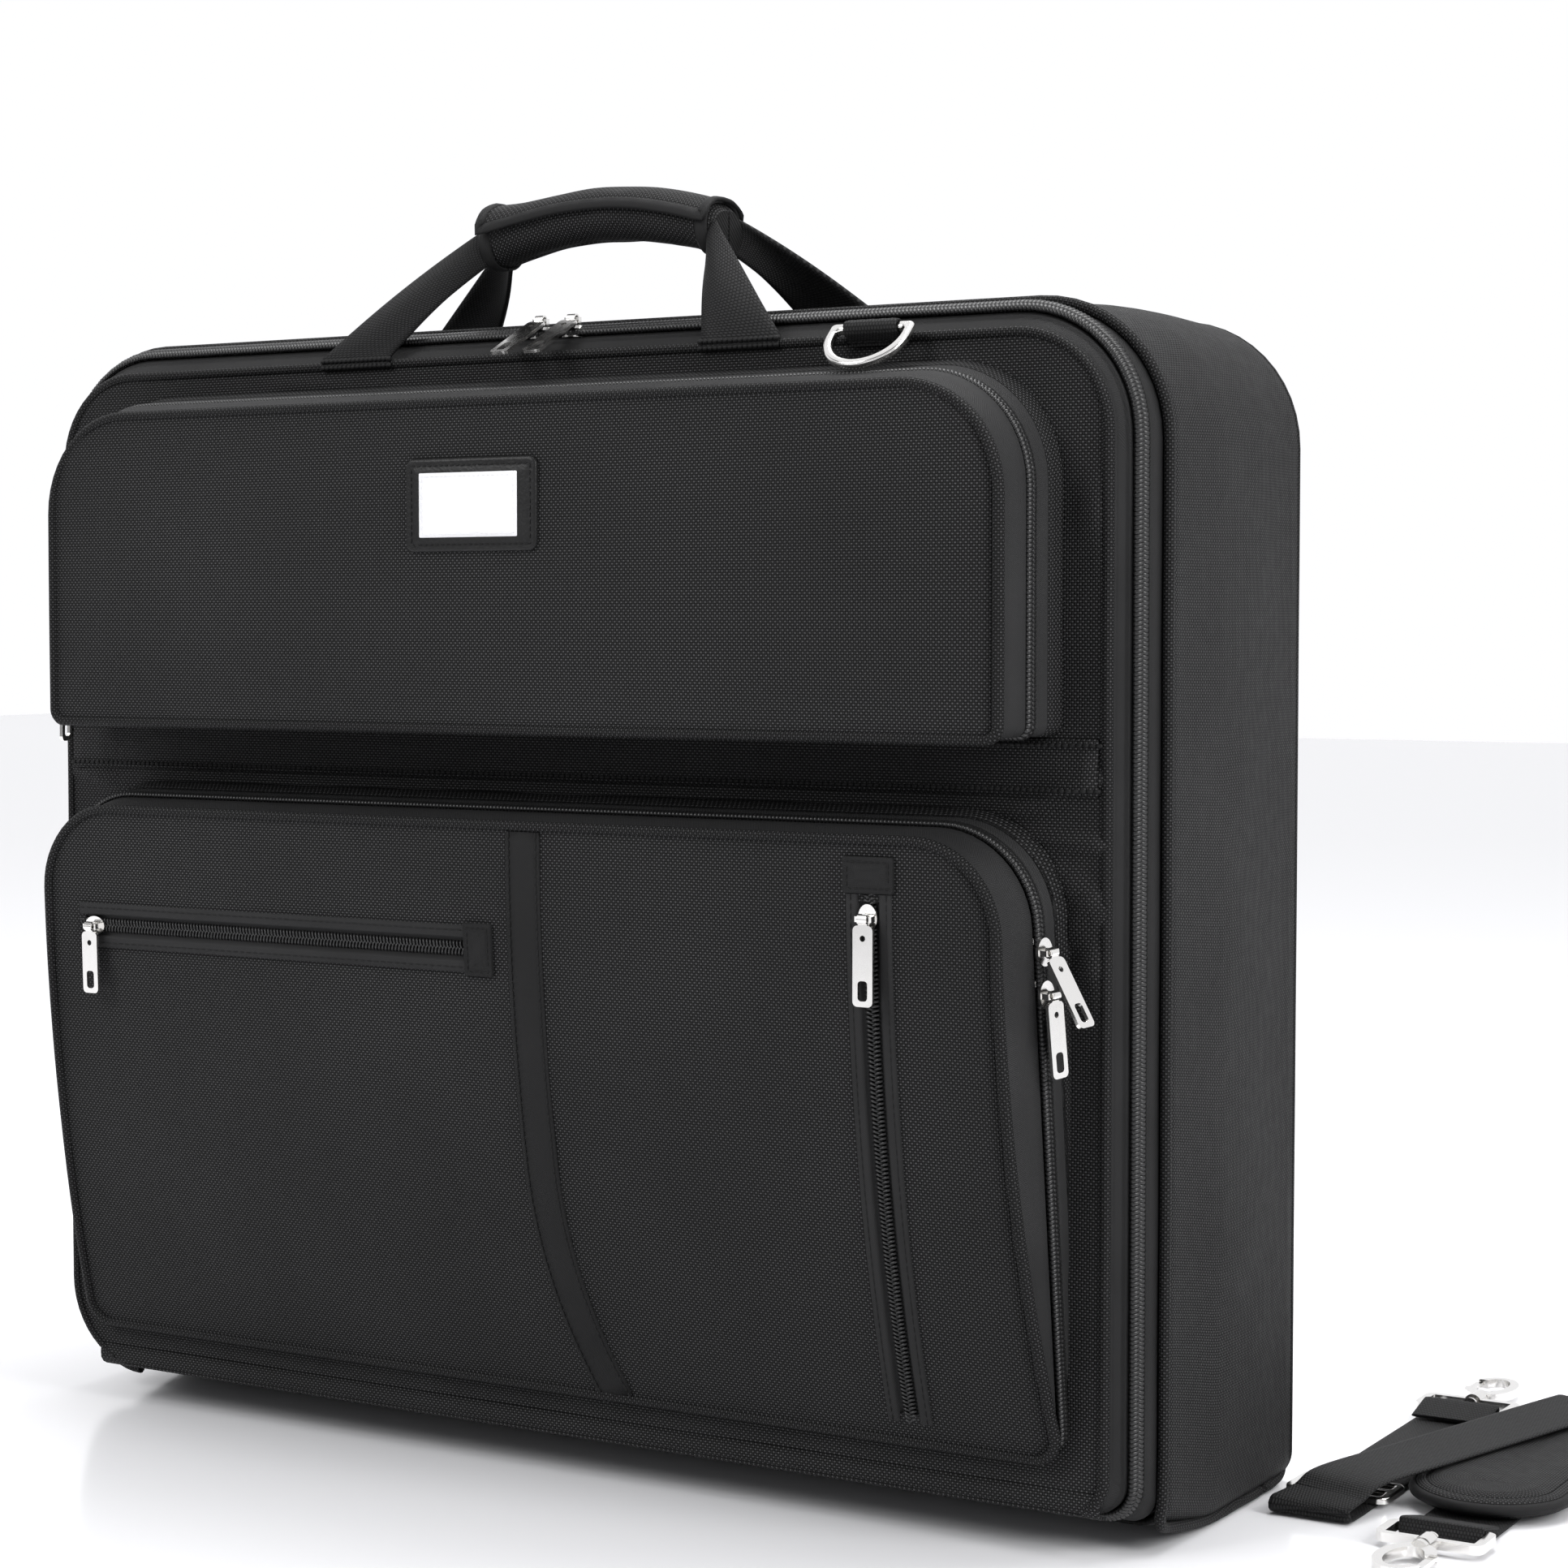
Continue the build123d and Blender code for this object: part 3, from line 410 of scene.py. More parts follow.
def strap_weave(name):
    """Webbing: ribs along the strap, crossed by close picks."""
    g = material(name)
    u, v = g.uv(1.5 * MM)
    picks = g.hump(g.math("ADD", u, g.math("MULTIPLY", g.math("FLOOR", v), 0.5)))
    height = g.math("MULTIPLY", g.math("POWER", picks, 0.7), g.math("POWER", g.hump(v), 0.5))
    g.bump(height, 0.28)
    # Painted light: the colour follows the weave's height, with a painted highlight on the raised picks and ribs and
    # a painted shade between them. The noise varies the strength of that painted highlight at random.
    uneven_sheen = g.math("MULTIPLY_ADD", g.noise(30), 0.4, 0.5)
    colour = g.mix(g.math("MULTIPLY", height, uneven_sheen), grey(0.0022), grey(0.030))
    return g.finish(colour, 0.6, CLOTH_SHINE)


def grain(name, dark, light, scale, depth, roughness, specular=0.5):
    """A skin with an irregular grain: leather, board or moulded plastic."""
    g = material(name)
    place = g.node("ShaderNodeTexCoord").outputs["Object"]
    cells = g.node("ShaderNodeTexVoronoi", {"Vector": place, "Scale": scale}, feature="SMOOTH_F1")
    g.bump(cells.outputs["Distance"], depth, 0.6)
    return g.finish(g.mix(g.noise(scale / 6), grey(dark), grey(light)), roughness, specular)


def metal(name, tone, roughness):
    """Plated metal with faint handling marks."""
    g = material(name)
    marks = g.noise(260, 4)
    g.bump(marks, 0.03, 0.25)
    return g.finish(tone, g.math("MULTIPLY_ADD", marks, 0.16, roughness - 0.06), metallic=1.0)


BALLISTIC = basket_weave("ballistic_fabric", 1.2, 0.0012, 0.090, 0.34)
PIPING = basket_weave("piping_fabric", 1.2, 0.0012, 0.065, 0.3)
TAPE = twill("zipper_tape", 0.85, 0.003, 0.032, 0.10, zigzag=6)
COIL = grain("zipper_coil", 0.007, 0.012, 900, 0.02, 0.36, specular=0.42)
THREAD = grain("sewing_thread", 0.007, 0.013, 1200, 0.05, 0.6, specular=0.15)
TRIM = twill("smooth_trim", 0.8, 0.0035, 0.019, 0.12, zigzag=8)
WEBBING = strap_weave("webbing")
PAD_CLOTH = basket_weave("pad_fabric", 1.2, 0.0012, 0.080, 0.3)
LINING = twill("lining_fabric", 0.5, 0.012, 0.030, 0.04, roughness=0.42)
BOARD = grain("stiffener_board", 0.03, 0.05, 300, 0.1, 0.7)
PLASTIC = grain("black_plastic", 0.010, 0.016, 700, 0.05, 0.4, specular=0.3)
LEATHER = grain("patch_leather", 0.004, 0.010, 850, 0.22, 0.42, specular=0.22)
LABEL = twill("label_fabric", 0.45, 0.62, 0.85, 0.05, roughness=0.7)
BRUSHED = metal("brushed_metal", (0.72, 0.71, 0.69, 1), 0.24)
BRIGHT = metal("bright_metal", (0.80, 0.79, 0.77, 1), 0.14)


# ---- shell, the rear half ----
def shell_row(y, grow=0.0):
    """The shell's outline at depth y, with the sag and swell of its cloth."""
    pair = (SHELL_RIM, SHELL_BELLY) if y < SHELL_BELLY[0] else (SHELL_BELLY, SHELL_REAR)
    points = ring(at_depth(*pair, y), grow)
    share = (y - RIM) / (BACK - 6 - RIM)
    row = []
    for p in points:
        out = from_axis(p)
        resting = min(1.0, max(0.0, (p.z - 4) / 30))  # the bottom lies flat on the floor
        swell = 2.6 * math.sin(math.pi * share) + (1.5 if p.x < -250 else 0)
        lie = 1.3 * ripple(p, 85) + 0.7 * ripple(p, 34, 3.1)
        row.append(p + out * resting * max(math.sin(math.pi * share), 0.0) ** 0.6 * (swell * 0.6 + lie))
    return row


def ring_of(section, grow, y):
    """An outline carried to another depth as it is."""
    return [Vector((p.x, y, p.z)) for p in ring(section, grow)]


def shell_wall():
    """The wide side wall all round the shell."""
    wall = Shape()
    wall.surface([shell_row(y) for y in spread(RIM + 1, BACK - 5, 19)], closed=True)
    place(wall.make("shell_wall", [BALLISTIC], 2.2, from_axis), "shell", "ballistic_fabric", "shell_gusset")


def reach(section, z, grow, right):
    """How far an outline reaches to one side at height z."""
    _, half, low, high, r_high, r_low = section
    if right:
        r_low = settled(r_low)
    half, low, high = half + grow, low - grow, high + grow
    if z > high - r_high:
        return half - r_high + math.sqrt(max(r_high**2 - (z - high + r_high) ** 2, 0))
    if z < low + r_low:
        return half - r_low + math.sqrt(max(r_low**2 - (low + r_low - z) ** 2, 0))
    return half


def panel_rows(section, grow, depth, step=9.0, levels=(), columns=(), inner=None, section_at=None):
    """Rows of points that fill an outline; depth(x, z) gives their Y. Columns stay upright inside inner."""
    _, half, low, high, r_high, r_low = section
    half, low, high = half + grow, low - grow, high + grow
    bends = [low + r_low * (1 - math.cos(math.radians(a))) for a in range(0, 91, 10)]
    bends += [high - r_high * (1 - math.cos(math.radians(a))) for a in range(0, 91, 9)]
    straight = spread(low + r_low, high - r_high, int((high - r_high - low - r_low) / step))
    free = sorted(z for z in bends + straight if all(abs(z - level) > 2 for level in levels))
    heights = sorted([z for z, after in zip(free, free[1:] + [1e9]) if after - z > 0.3] + list(levels))
    inner = inner or half - max(r_high, r_low)
    steady = [x for x in spread(-inner, inner, int(2 * inner / step)) if all(abs(x - c) > 2 for c in columns)]
    steady = sorted(steady + list(columns))
    rows = []
    for z in heights:
        outline = section_at(z) if section_at else section
        left, right = (reach(outline, z, grow, side) for side in (False, True))
        row = [-inner - (left - inner) * t for t in spread(1, 0, 6)[:-1]] + steady
        row += [inner + (right - inner) * t for t in spread(0, 1, 6)[1:]]
        rows.append([Vector((x, depth(x, z), z)) for x in row])
    return rows


def crown(section, x, z, height, edge=70.0):
    """How far a soft panel stands forward, none at its edge."""
    _, half, low, high, *_ = section
    near = min(half - abs(x), z - low, high - z)
    return height * (1 - (1 - min(max(near, 0) / edge, 1)) ** 2)


def back_face():
    """The back panel, a little crowned."""
    back = Shape()
    section = (BACK - 4, SHELL_HALF - 3, 3, TOP - 3, 57, 32)

    def depth(x, z):
        return BACK - 3.5 + crown(section, x, z, 3.0) + 0.8 * ripple(Vector((x, 0, z)), 120, 5)

    back.surface(panel_rows(section, 0, depth), flat=True)
    obj = back.make("back_face", [BALLISTIC], 2.0, lambda _: Y)
    place(obj, "shell", "ballistic_fabric", "back_panel")


def lining():
    """The thin lining of the shell's walls and back."""
    inside = Shape()
    rows = [shell_row(y, -4.2) for y in spread(RIM + 6, BACK - 10.5, 12)]
    inside.surface(rows, closed=True)
    obj = inside.make("lining", [LINING], 0.6, lambda p: -from_axis(p))
    place(obj, "shell", "lining_fabric", "shell_lining")
    back = Shape()
    section = (BACK - 10, SHELL_HALF - 6, 6, TOP - 6, 54, 30)
    rows = panel_rows(section, 0, lambda x, z: BACK - 10.2 - 0.4 * ripple(Vector((x, 0, z)), 50))
    back.surface(rows, flat=True)
    obj = back.make("lining_back", [LINING], 0.6, to_front)
    place(obj, "shell", "lining_fabric", "shell_lining")


def piping(name, body, node, path, closed=True, radius=2.5):
    """A cord covered in cloth, sewn into a seam."""
    cord = Shape()
    line = [p + Vector((0, 0.25 * ripple(p, 60), 0)) for p in path]
    cord.sweep(line, outward(line, closed), round_section(radius, 10), closed=closed)
    place(cord.make(name, [PIPING]), body, "piping_fabric", node)


def shell_piping():
    """The rim's piping, which turns back at the lower right along the side wall's bottom edge, and the back's."""
    rim = without_bottom(ring_of(SHELL_RIM, 0, RIM - 2.0), 262)
    rim = [p for p in rim if p.x < 0 or p.z > 36]
    back_along = [Vector((301, BACK - 1, 15)), Vector((303.5, BACK - 5, 6)), Vector((304, BACK - 16, 2.8)),
                  Vector((303.8, 30, 2.6)), Vector((303, -10, 3.4)), Vector((301.6, RIM + 10, 9)),
                  Vector((302.6, RIM, 14.5)), Vector((304.4, RIM - 2, 24))]
    piping("shell_front_piping", "shell", "shell_piping", curve(back_along + [rim[0]], 8)[:-1] + rim, closed=False)
    piping("shell_back_piping", "shell", "shell_piping", ring_of(SHELL_REAR, -2.2, BACK - 3.2))


# ---- main zipper ----
def outward(path, closed=False):
    """The way out of the bag along a ring, square to Y and to the ring."""
    return [Y.cross(along).normalized() for along in tangents(path, closed)]


def stringer(name, body, node, sections, side, chain, gap=None, dip=0.5, lean=0.0):
    """One side of a zipper: its tape through the sections, and a row of teeth along the chain."""

    def run(section, grow=0.0):
        points = ring(section, grow)
        return points if gap is None else without_bottom(points, gap)

    half = Shape()
    half.surface([run(s) for s in sections], closed=gap is None)
    path = run(chain, -dip)
    if gap is None:
        path += path[:1]
    half.teeth(path, [(up - Y * lean).normalized() for up in outward(path)], side)
    place(half.make(name, [TAPE, COIL], 0.9, from_axis), body, "zipper_tape", node)


def tape_sections(start, chain, dip, side, steps=5):
    """A tape from a seam to the teeth, where it drops by dip to lie under them."""
    crest = (chain[0] + side * 4.6,) + tuple(chain[1:])
    rows = [blend_outline(start, crest, t) for t in spread(0, 1, steps)]
    low = (chain[0] + side * 2.4, chain[1] - dip, chain[2] + dip, chain[3] - dip, chain[4] - dip, chain[5] - dip)
    return rows + [low]


def main_zipper():
    """The main zipper slopes outwards from the lid to the shell, so that it shows from the front."""
    lid_side = [blend_outline(LID_EDGE, MAIN_CHAIN, t) for t in (0, 0.25, 0.5, 0.68)]
    lid_side.append((ZIP_Y - 3.4, ZIP_HALF - 2.6, 20, TOP - 7.8, 53, 35))
    shell_side = [blend_outline(SHELL_TAPE_END, MAIN_CHAIN, t) for t in (0, 0.3, 0.6)]
    shell_side.append((ZIP_Y + 1.4, ZIP_HALF - 1.2, 18.4, TOP - 6.0, 54.6, 36.6))
    laid = {"gap": HINGE_GAP, "dip": 0, "lean": 0.55}
    stringer("main_shell_tape", "shell", "main_shell_stringer", shell_side, 1, MAIN_CHAIN, **laid)
    stringer("main_lid_tape", "lid", "main_lid_stringer", lid_side, -1, MAIN_CHAIN, **laid)


def bottom_hinge():
    """The cloth strip that joins the two halves, which folds when the bag opens; here it is one fixed shape, tied to
    no body.
    """
    strip = Shape()
    profile = ((RIM - 2, 13.4), (RIM - 6, 14.4), (RIM - 10, 16.4), (ZIP_Y, 16.8), (ZIP_Y - 4, 17.2),
               (FRONT + 5.5, 19), (FRONT + 2.5, 20.6))
    rows = [[Vector((x, y, z)) for x in spread(-HINGE_GAP + 1, HINGE_GAP - 1, 60)] for y, z in profile]
    strip.surface(rows)
    obj = strip.make("bottom_hinge", [TRIM], 1.4, lambda _: -Z)
    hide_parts("hinge_strip")
    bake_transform(obj)


# ---- lid, the front half ----
CREASES = (  # (start, end, half width, height) of folds in the lid's cloth, round the corners of the pockets
    ((240, 314), (287, 332), 3.6, 3.2),
    ((250, 308), (289, 303), 3.2, 4.4),
    ((262, 297), (289, 274), 4.0, 4.6),
    ((272, 280), (288, 238), 3.6, 3.6),
    ((222, 321), (262, 317), 3.0, 2.2),
    ((-250, 312), (-286, 324), 3.6, 3.2),
    ((-262, 300), (-288, 280), 4.0, 4.0),
    ((276, 470), (288, 420), 3.6, 2.4),
    ((150, 512), (176, 507), 3.0, 2.4),
    ((196, 511), (240, 499), 3.4, 3.2),
    ((-150, 511), (-90, 508), 3.0, 2.2),
)


def crease(x, z):
    """The height of the folds at a point."""
    height = 0.0
    for (x0, z0), (x1, z1), half, rise in CREASES:
        run = Vector((x1 - x0, z1 - z0))
        spot = Vector((x - x0, z - z0))
        share = spot.dot(run) / run.length_squared
        if -0.2 < share < 1.2:
            aside = abs(spot.x * run.y - spot.y * run.x) / run.length
            height += rise * math.exp(-((aside / half) ** 2)) * max(0, 1 - (2 * share - 1) ** 2 / 1.9)
    return height


def lid_y(x, z):
    """The lid's face: nearly flat, with the pull of the seams near its edges and a few folds."""
    p = Vector((x, 0, z))
    drawn = 1.1 * ripple(p, 46, 2) + 0.7 * ripple(Vector((x * 0.4, 0, z * 1.6)), 22, 7)
    return FRONT - 0.6 - crown(LID_EDGE, x, z, 1.0, 30) * (0.8 + drawn) - crease(x, z)


def lid_face():
    """The front cloth of the lid and its piping."""
    face = Shape()
    face.surface(panel_rows(LID_EDGE, 1.5, lid_y, 3.6), flat=True)
    place(face.make("lid_face", [BALLISTIC], 2.2, to_front), "lid", "ballistic_fabric", "lid_panel")
    edge = without_bottom(ring_of(LID_EDGE, 0.6, FRONT + 0.2), 258)
    piping("lid_edge_piping", "lid", "lid_piping", [p for p in edge if p.x < 0 or p.z > 22], closed=False)


def lid_underfold():
    """The front cloth turned under along the lid's bottom edge."""
    under = Shape()
    turn = ((-1.2, 30), (-1.9, 25.5), (-1.6, 22), (0, 19.6), (2.5, 18.2), (6, 17.4))
    ends = (-LID_HALF + 16, LID_HALF - 1)
    under.surface([[Vector((x, FRONT + y - 0.2 * ripple(Vector((x, 0, z)), 40), z)) for x in spread(*ends, 70)]
                   for y, z in turn])
    place(under.make("lid_underfold", [BALLISTIC], 1.4, to_front), "lid", "ballistic_fabric")


def lid_band():
    """The woven band across the front, sewn down along both its edges."""
    band = Shape()
    columns = spread(-LID_HALF + 2.5, LID_HALF - 2.5, 80)
    profile = ((BAND_LOW, -0.4), (BAND_LOW + 0.8, 1.3), (BAND_LOW + 4, 1.0), (BAND_LOW + 9, 1.6),
               (BAND_LOW + 16, 1.6), (BAND_HIGH - 4, 1.0), (BAND_HIGH - 0.8, 1.3), (BAND_HIGH, -0.4))
    rows = [
        [Vector((x, lid_y(x, z) - lift - 0.3 * ripple(Vector((x, 0, z)), 30), z)) for x in columns]
        for z, lift in profile
    ]
    band.surface(rows, flat=True)
    for z in (BAND_LOW + 3, BAND_HIGH - 3):
        line = [Vector((x, lid_y(x, z) - 1.1, z)) for x in columns]
        band.stitches(line, [-Y] * len(line), height=0.05, length=2.4, gap=0.7)
    place(band.make("lid_band", [BALLISTIC, THREAD], 0.8, to_front), "lid", "smooth_trim", "front_band")


# ---- upper pocket ----
def upper_section(y):
    """The pocket's outline at a depth."""
    return at_depth(UP_BASE, UP_FACE, y)


def upper_pocket():
    """Its wall, both sides of its zipper, its piping and its soft panel."""
    chain = upper_section(UP_ZIP_Y)
    wall = Shape()
    wall.surface([ring(upper_section(y)) for y in spread(FRONT + 0.5, UP_ZIP_Y + 11, 3)], closed=True)
    place(wall.make("upper_pocket_wall", [BALLISTIC], 1.6, from_upper), "lid", "ballistic_fabric",
          "upper_base_stringer")
    base = tape_sections(upper_section(UP_ZIP_Y + 12), chain, 1.4, 1)
    stringer("upper_base_tape", "lid", "upper_base_stringer", base, 1, chain)
    cover = tape_sections(upper_section(POCKET_FACE + 2), chain, 1.4, -1)
    stringer("upper_cover_tape", "upper_pocket_cover", "upper_cover_stringer", cover, -1, chain)
    piping("upper_cover_edge", "upper_pocket_cover", "upper_cover_piping", ring_of(UP_FACE, 0.3, POCKET_FACE + 0.6))
    face = Shape()
    face.surface(panel_rows(UP_FACE, -0.5, upper_y, 8.0), flat=True)
    place(face.make("upper_pocket_face", [BALLISTIC], 2.2, to_front), "upper_pocket_cover", "ballistic_fabric",
          "upper_cover_panel")


def from_upper(p):
    """Away from the pocket's middle."""
    return Vector((p.x, 0, p.z - UP_MIDDLE)).normalized()


def upper_y(x, z):
    """The pocket's soft face."""
    p = Vector((x, 0, z))
    return POCKET_FACE - 0.3 - crown(UP_FACE, x, z, 2.6, 55) - 0.5 * ripple(p, 75, 4) * crown(UP_FACE, x, z, 1, 30)


def rounded_loop(x, z, width, height, radius, y, sides=6):
    """Points round a small upright rounded rectangle."""
    points = []
    for sx, sz, turn in ((1, -1, -90), (1, 1, 0), (-1, 1, 90), (-1, -1, 180)):
        cx, cz = x + sx * (width / 2 - radius), z + sz * (height / 2 - radius)
        for i in range(sides + 1):
            a = math.radians(turn + 90 * i / sides)
            points.append(Vector((cx + radius * math.cos(a), y, cz + radius * math.sin(a))))
    return points


def patch():
    """The leather patch with its blank woven label."""
    at_x, at_z = -3, 449
    wide, tall, label_wide, label_tall = 72, 42, 54, 29
    y = upper_y(at_x, at_z)
    leather = Shape()
    levels = ((0.0, 0.4), (0.0, -1.1), (-0.5, -1.7), (-1.6, -1.9), (-3.2, -1.5), (-4.4, -1.9), (-8, -1.9))
    rows = [rounded_loop(at_x, at_z, wide + 2 * g, tall + 2 * g, max(4 + g, 0.8), y + h) for g, h in levels]
    leather.surface(rows, closed=True)
    leather.cap(rows[-1])
    seam = rounded_loop(at_x, at_z, wide - 6.4, tall - 6.4, 1.4, y - 1.7)
    leather.stitches(seam + seam[:1], [-Y] * (len(seam) + 1), length=2.2, gap=0.9, height=0.1)
    place(leather.make("patch_leather", [LEATHER, THREAD]), "upper_pocket_cover", "patch_leather", "leather_patch")
    label = Shape()
    rows = [rounded_loop(at_x - 1, at_z, label_wide + 2 * g, label_tall + 2 * g, 0.5, y + h, 2)
            for g, h in ((0.0, -1.6), (0.0, -2.2), (-0.3, -2.4), (-3, -2.4))]
    label.surface(rows, closed=True)
    label.cap(rows[-1])
    edge = rounded_loop(at_x - 1, at_z, label_wide - 3, label_tall - 3, 0.6, y - 2.4, 2)
    label.stitches(edge + edge[:1], [-Y] * (len(edge) + 1), length=1.8, gap=0.8, height=0.0)
    place(label.make("blank_label_cloth", [LABEL, LABEL]), "upper_pocket_cover", "label_fabric", "blank_label")


# ---- lower pocket ----
FACE_CENTRE_Y, FACE_CENTRE_Z, FACE_RADIUS = 702.6, 300.8, 833.3  # the arc of its bowed face


def lower_y(z):
    """The bowed face's depth."""
    return FACE_CENTRE_Y - math.sqrt(FACE_RADIUS**2 - (z - FACE_CENTRE_Z) ** 2)


def lower_normal(z):
    """The way out of the bowed face."""
    return Vector((0, lower_y(z) - FACE_CENTRE_Y, z - FACE_CENTRE_Z)).normalized()


def lower_zip_y(z):
    """The depth of the zipper, which slants away from the lid towards the top."""
    return -86 - 21 * (z - 43) / 275


def lower_ring(depth, grow=0.0):
    """The pocket's outline where its slanting wall meets the surface y = depth(z)."""
    points = []
    for a, b in zip(ring(LOW_BASE, grow), ring(LOW_FRONT, grow)):
        p = a
        for _ in range(8):
            p = a.lerp(b, (depth(p.z) - a.y) / (b.y - a.y))
        points.append(p)
    return points


def from_lower(p):
    """Away from the pocket's middle."""
    return Vector((p.x, 0, p.z - LOW_MIDDLE)).normalized()


def lower_side(name, body, node, far, side):
    """The tape and teeth on one side of the lower pocket's zipper."""
    tape = Shape()
    chain = lower_ring(lower_zip_y)
    crest = lower_ring(lambda z: lower_zip_y(z) + side * 4.4)
    under = lower_ring(lambda z: lower_zip_y(z) + side * 2.4, -1.4)
    edge = lower_ring(far)
    low = LOW_BASE[2] + 8
    rows = [[a.lerp(b, t) for a, b in zip(edge, crest)] for t in spread(0, 1, 5)] + [under]
    tape.surface(rows, closed=True)
    path = [p for p in lower_ring(lower_zip_y, -0.4) if p.z > low]
    tape.teeth(path, outward(path), side)
    place(tape.make(name, [TAPE, COIL], 0.9, from_lower), body, "zipper_tape", node)


HZIP_Z, HZIP_LEFT, HZIP_RIGHT = 249, -240, -8
VZIP_X, VZIP_LOW, VZIP_HIGH = 202, 52, 283


def in_slit(p):
    """Whether a point lies in the slit of one of the face's two zippers."""
    across = abs(p.z - HZIP_Z) < 5 and HZIP_LEFT + 2 < p.x < HZIP_RIGHT - 2
    down = abs(p.x - VZIP_X) < 5 and VZIP_LOW + 2 < p.z < VZIP_HIGH - 2
    return across or down


def lower_face_y(x, z):
    """The bowed face, with a slight uneven lie that fades at the zippers."""
    calm = min(1.0, abs(z - HZIP_Z) / 25 if x < 0 else 1.0, abs(x - VZIP_X) / 25)
    p = Vector((x, 0, z))
    return lower_y(z) - calm * crown(LOW_FRONT, x, z, 1.0, 25) * (0.7 * ripple(p, 70, 9) + 0.4 * ripple(p, 30, 1))


def lower_edge(z):
    """The outline at the depth of the face at height z."""
    return at_depth(LOW_BASE, LOW_FRONT, lower_y(z))


def on_face(x, z, lift):
    """A point above the lower pocket's face, and the way out of it."""
    out = lower_normal(z)
    return Vector((x, lower_y(z), z)) + out * lift, out


def lower_pocket():
    """Its wall, both sides of its zipper, its piping and its bowed face."""
    wall = Shape()
    seam, edge = lower_ring(lambda z: FRONT + 0.5), lower_ring(lambda z: lower_zip_y(z) + 9)
    rows = [[a.lerp(b, t) for a, b in zip(seam, edge)] for t in spread(0, 1, 3)]
    wall.surface(rows, closed=True)
    place(wall.make("lower_pocket_wall", [BALLISTIC], 1.4, from_lower), "lid", "ballistic_fabric",
          "lower_base_stringer")
    lower_side("lower_base_tape", "lid", "lower_base_stringer",
               lambda z: max(min(lower_zip_y(z) + 11, FRONT + 0.4), lower_zip_y(z) + 1), 1)
    lower_side("lower_cover_tape", "lower_pocket_cover", "lower_cover_stringer", lambda z: lower_y(z) + 1.5, -1)
    seam = lower_ring(lambda z: lower_y(z) + 0.6, 0.2)
    piping("lower_cover_edge", "lower_pocket_cover", "lower_cover_piping", seam)
    face = Shape()
    rows = panel_rows(
        lower_edge(LOW_MIDDLE), -0.5, lower_face_y, 8.0, levels=(VZIP_LOW, HZIP_Z - 5.2, HZIP_Z + 5.2, VZIP_HIGH),
        columns=(HZIP_RIGHT, VZIP_X - 5.2, VZIP_X + 5.2), inner=214, section_at=lower_edge,
    )
    face.surface(rows, flat=True, hole=in_slit)
    place(face.make("lower_pocket_face", [BALLISTIC], 2.2, to_front), "lower_pocket_cover", "ballistic_fabric",
          "lower_cover_panel")


def face_strip(shape, centre, half, lifts, part=0):
    """A strip laid on the lower face along (x, z) points, raised by lifts from edge to edge."""
    runs = tangents([Vector((x, 0, z)) for x, z in centre], False)
    rows = []
    for share, lift in lifts:
        row = []
        for (x, z), along in zip(centre, runs):
            side = Vector((along.z, 0, -along.x))
            row.append(on_face(x + side.x * half * share, z + side.z * half * share, lift)[0])
        rows.append(row)
    shape.surface(rows, part=part)


def face_line(centre, shift, lift):
    """A line on the lower face beside another, with the way out at each point."""
    runs = tangents([Vector((x, 0, z)) for x, z in centre], False)
    pairs = [on_face(x + along.z * shift, z - along.x * shift, lift) for (x, z), along in zip(centre, runs)]
    return [p for p, _ in pairs], [n for _, n in pairs]


def accent():
    """The smooth strip that runs down the face and curves away to the right."""
    at_x, top, bend, radius, turn = 25.5, 303, 150, 260, 24.4
    centre = [(at_x, z) for z in spread(top, bend, 24)]
    centre += [(at_x + radius * (1 - math.cos(math.radians(a))), bend - radius * math.sin(math.radians(a)))
               for a in spread(0, turn, 16)[1:]]
    strip = Shape()
    lifts = ((-1, -0.6), (-0.94, 0.9), (-0.6, 0.7), (0, 1.1), (0.6, 0.7), (0.94, 0.9), (1, -0.6))
    face_strip(strip, centre, 9.5, lifts)
    for shift in (-7.4, 7.4):
        strip.stitches(*face_line(centre, shift, 0.8), height=0.15)
    place(strip.make("accent", [TRIM, THREAD], 0.7, to_front), "lower_pocket_cover", "smooth_trim", "accent_strip")


def face_zippers():
    """The two outer pockets' zippers: folded cloth edges, tapes and teeth."""
    zips = Shape()
    lifts = ((11, -0.7), (10.6, 0.9), (8.5, 0.7), (6.2, 1.1), (5.2, 0.7), (4.9, -1.0), (2.4, -1.6))
    for centre in ([(x, HZIP_Z) for x in spread(HZIP_LEFT, HZIP_RIGHT, 40)],
                   [(VZIP_X, z) for z in spread(VZIP_HIGH, VZIP_LOW, 40)]):
        for side in (-1, 1):
            welt = [(side * s / 11, lift) for s, lift in lifts]
            face_strip(zips, centre, 11, welt if side > 0 else list(reversed(welt)))
            line, ups = face_line(centre, 0, -0.8)
            zips.teeth(line, ups, side)
            zips.stitches(*face_line(centre, side * 8.5, 0.8), part=2, height=0.1)
    place(zips.make("face_zippers", [TAPE, COIL, THREAD]), "lower_pocket_cover", "zipper_tape", "face_zips")


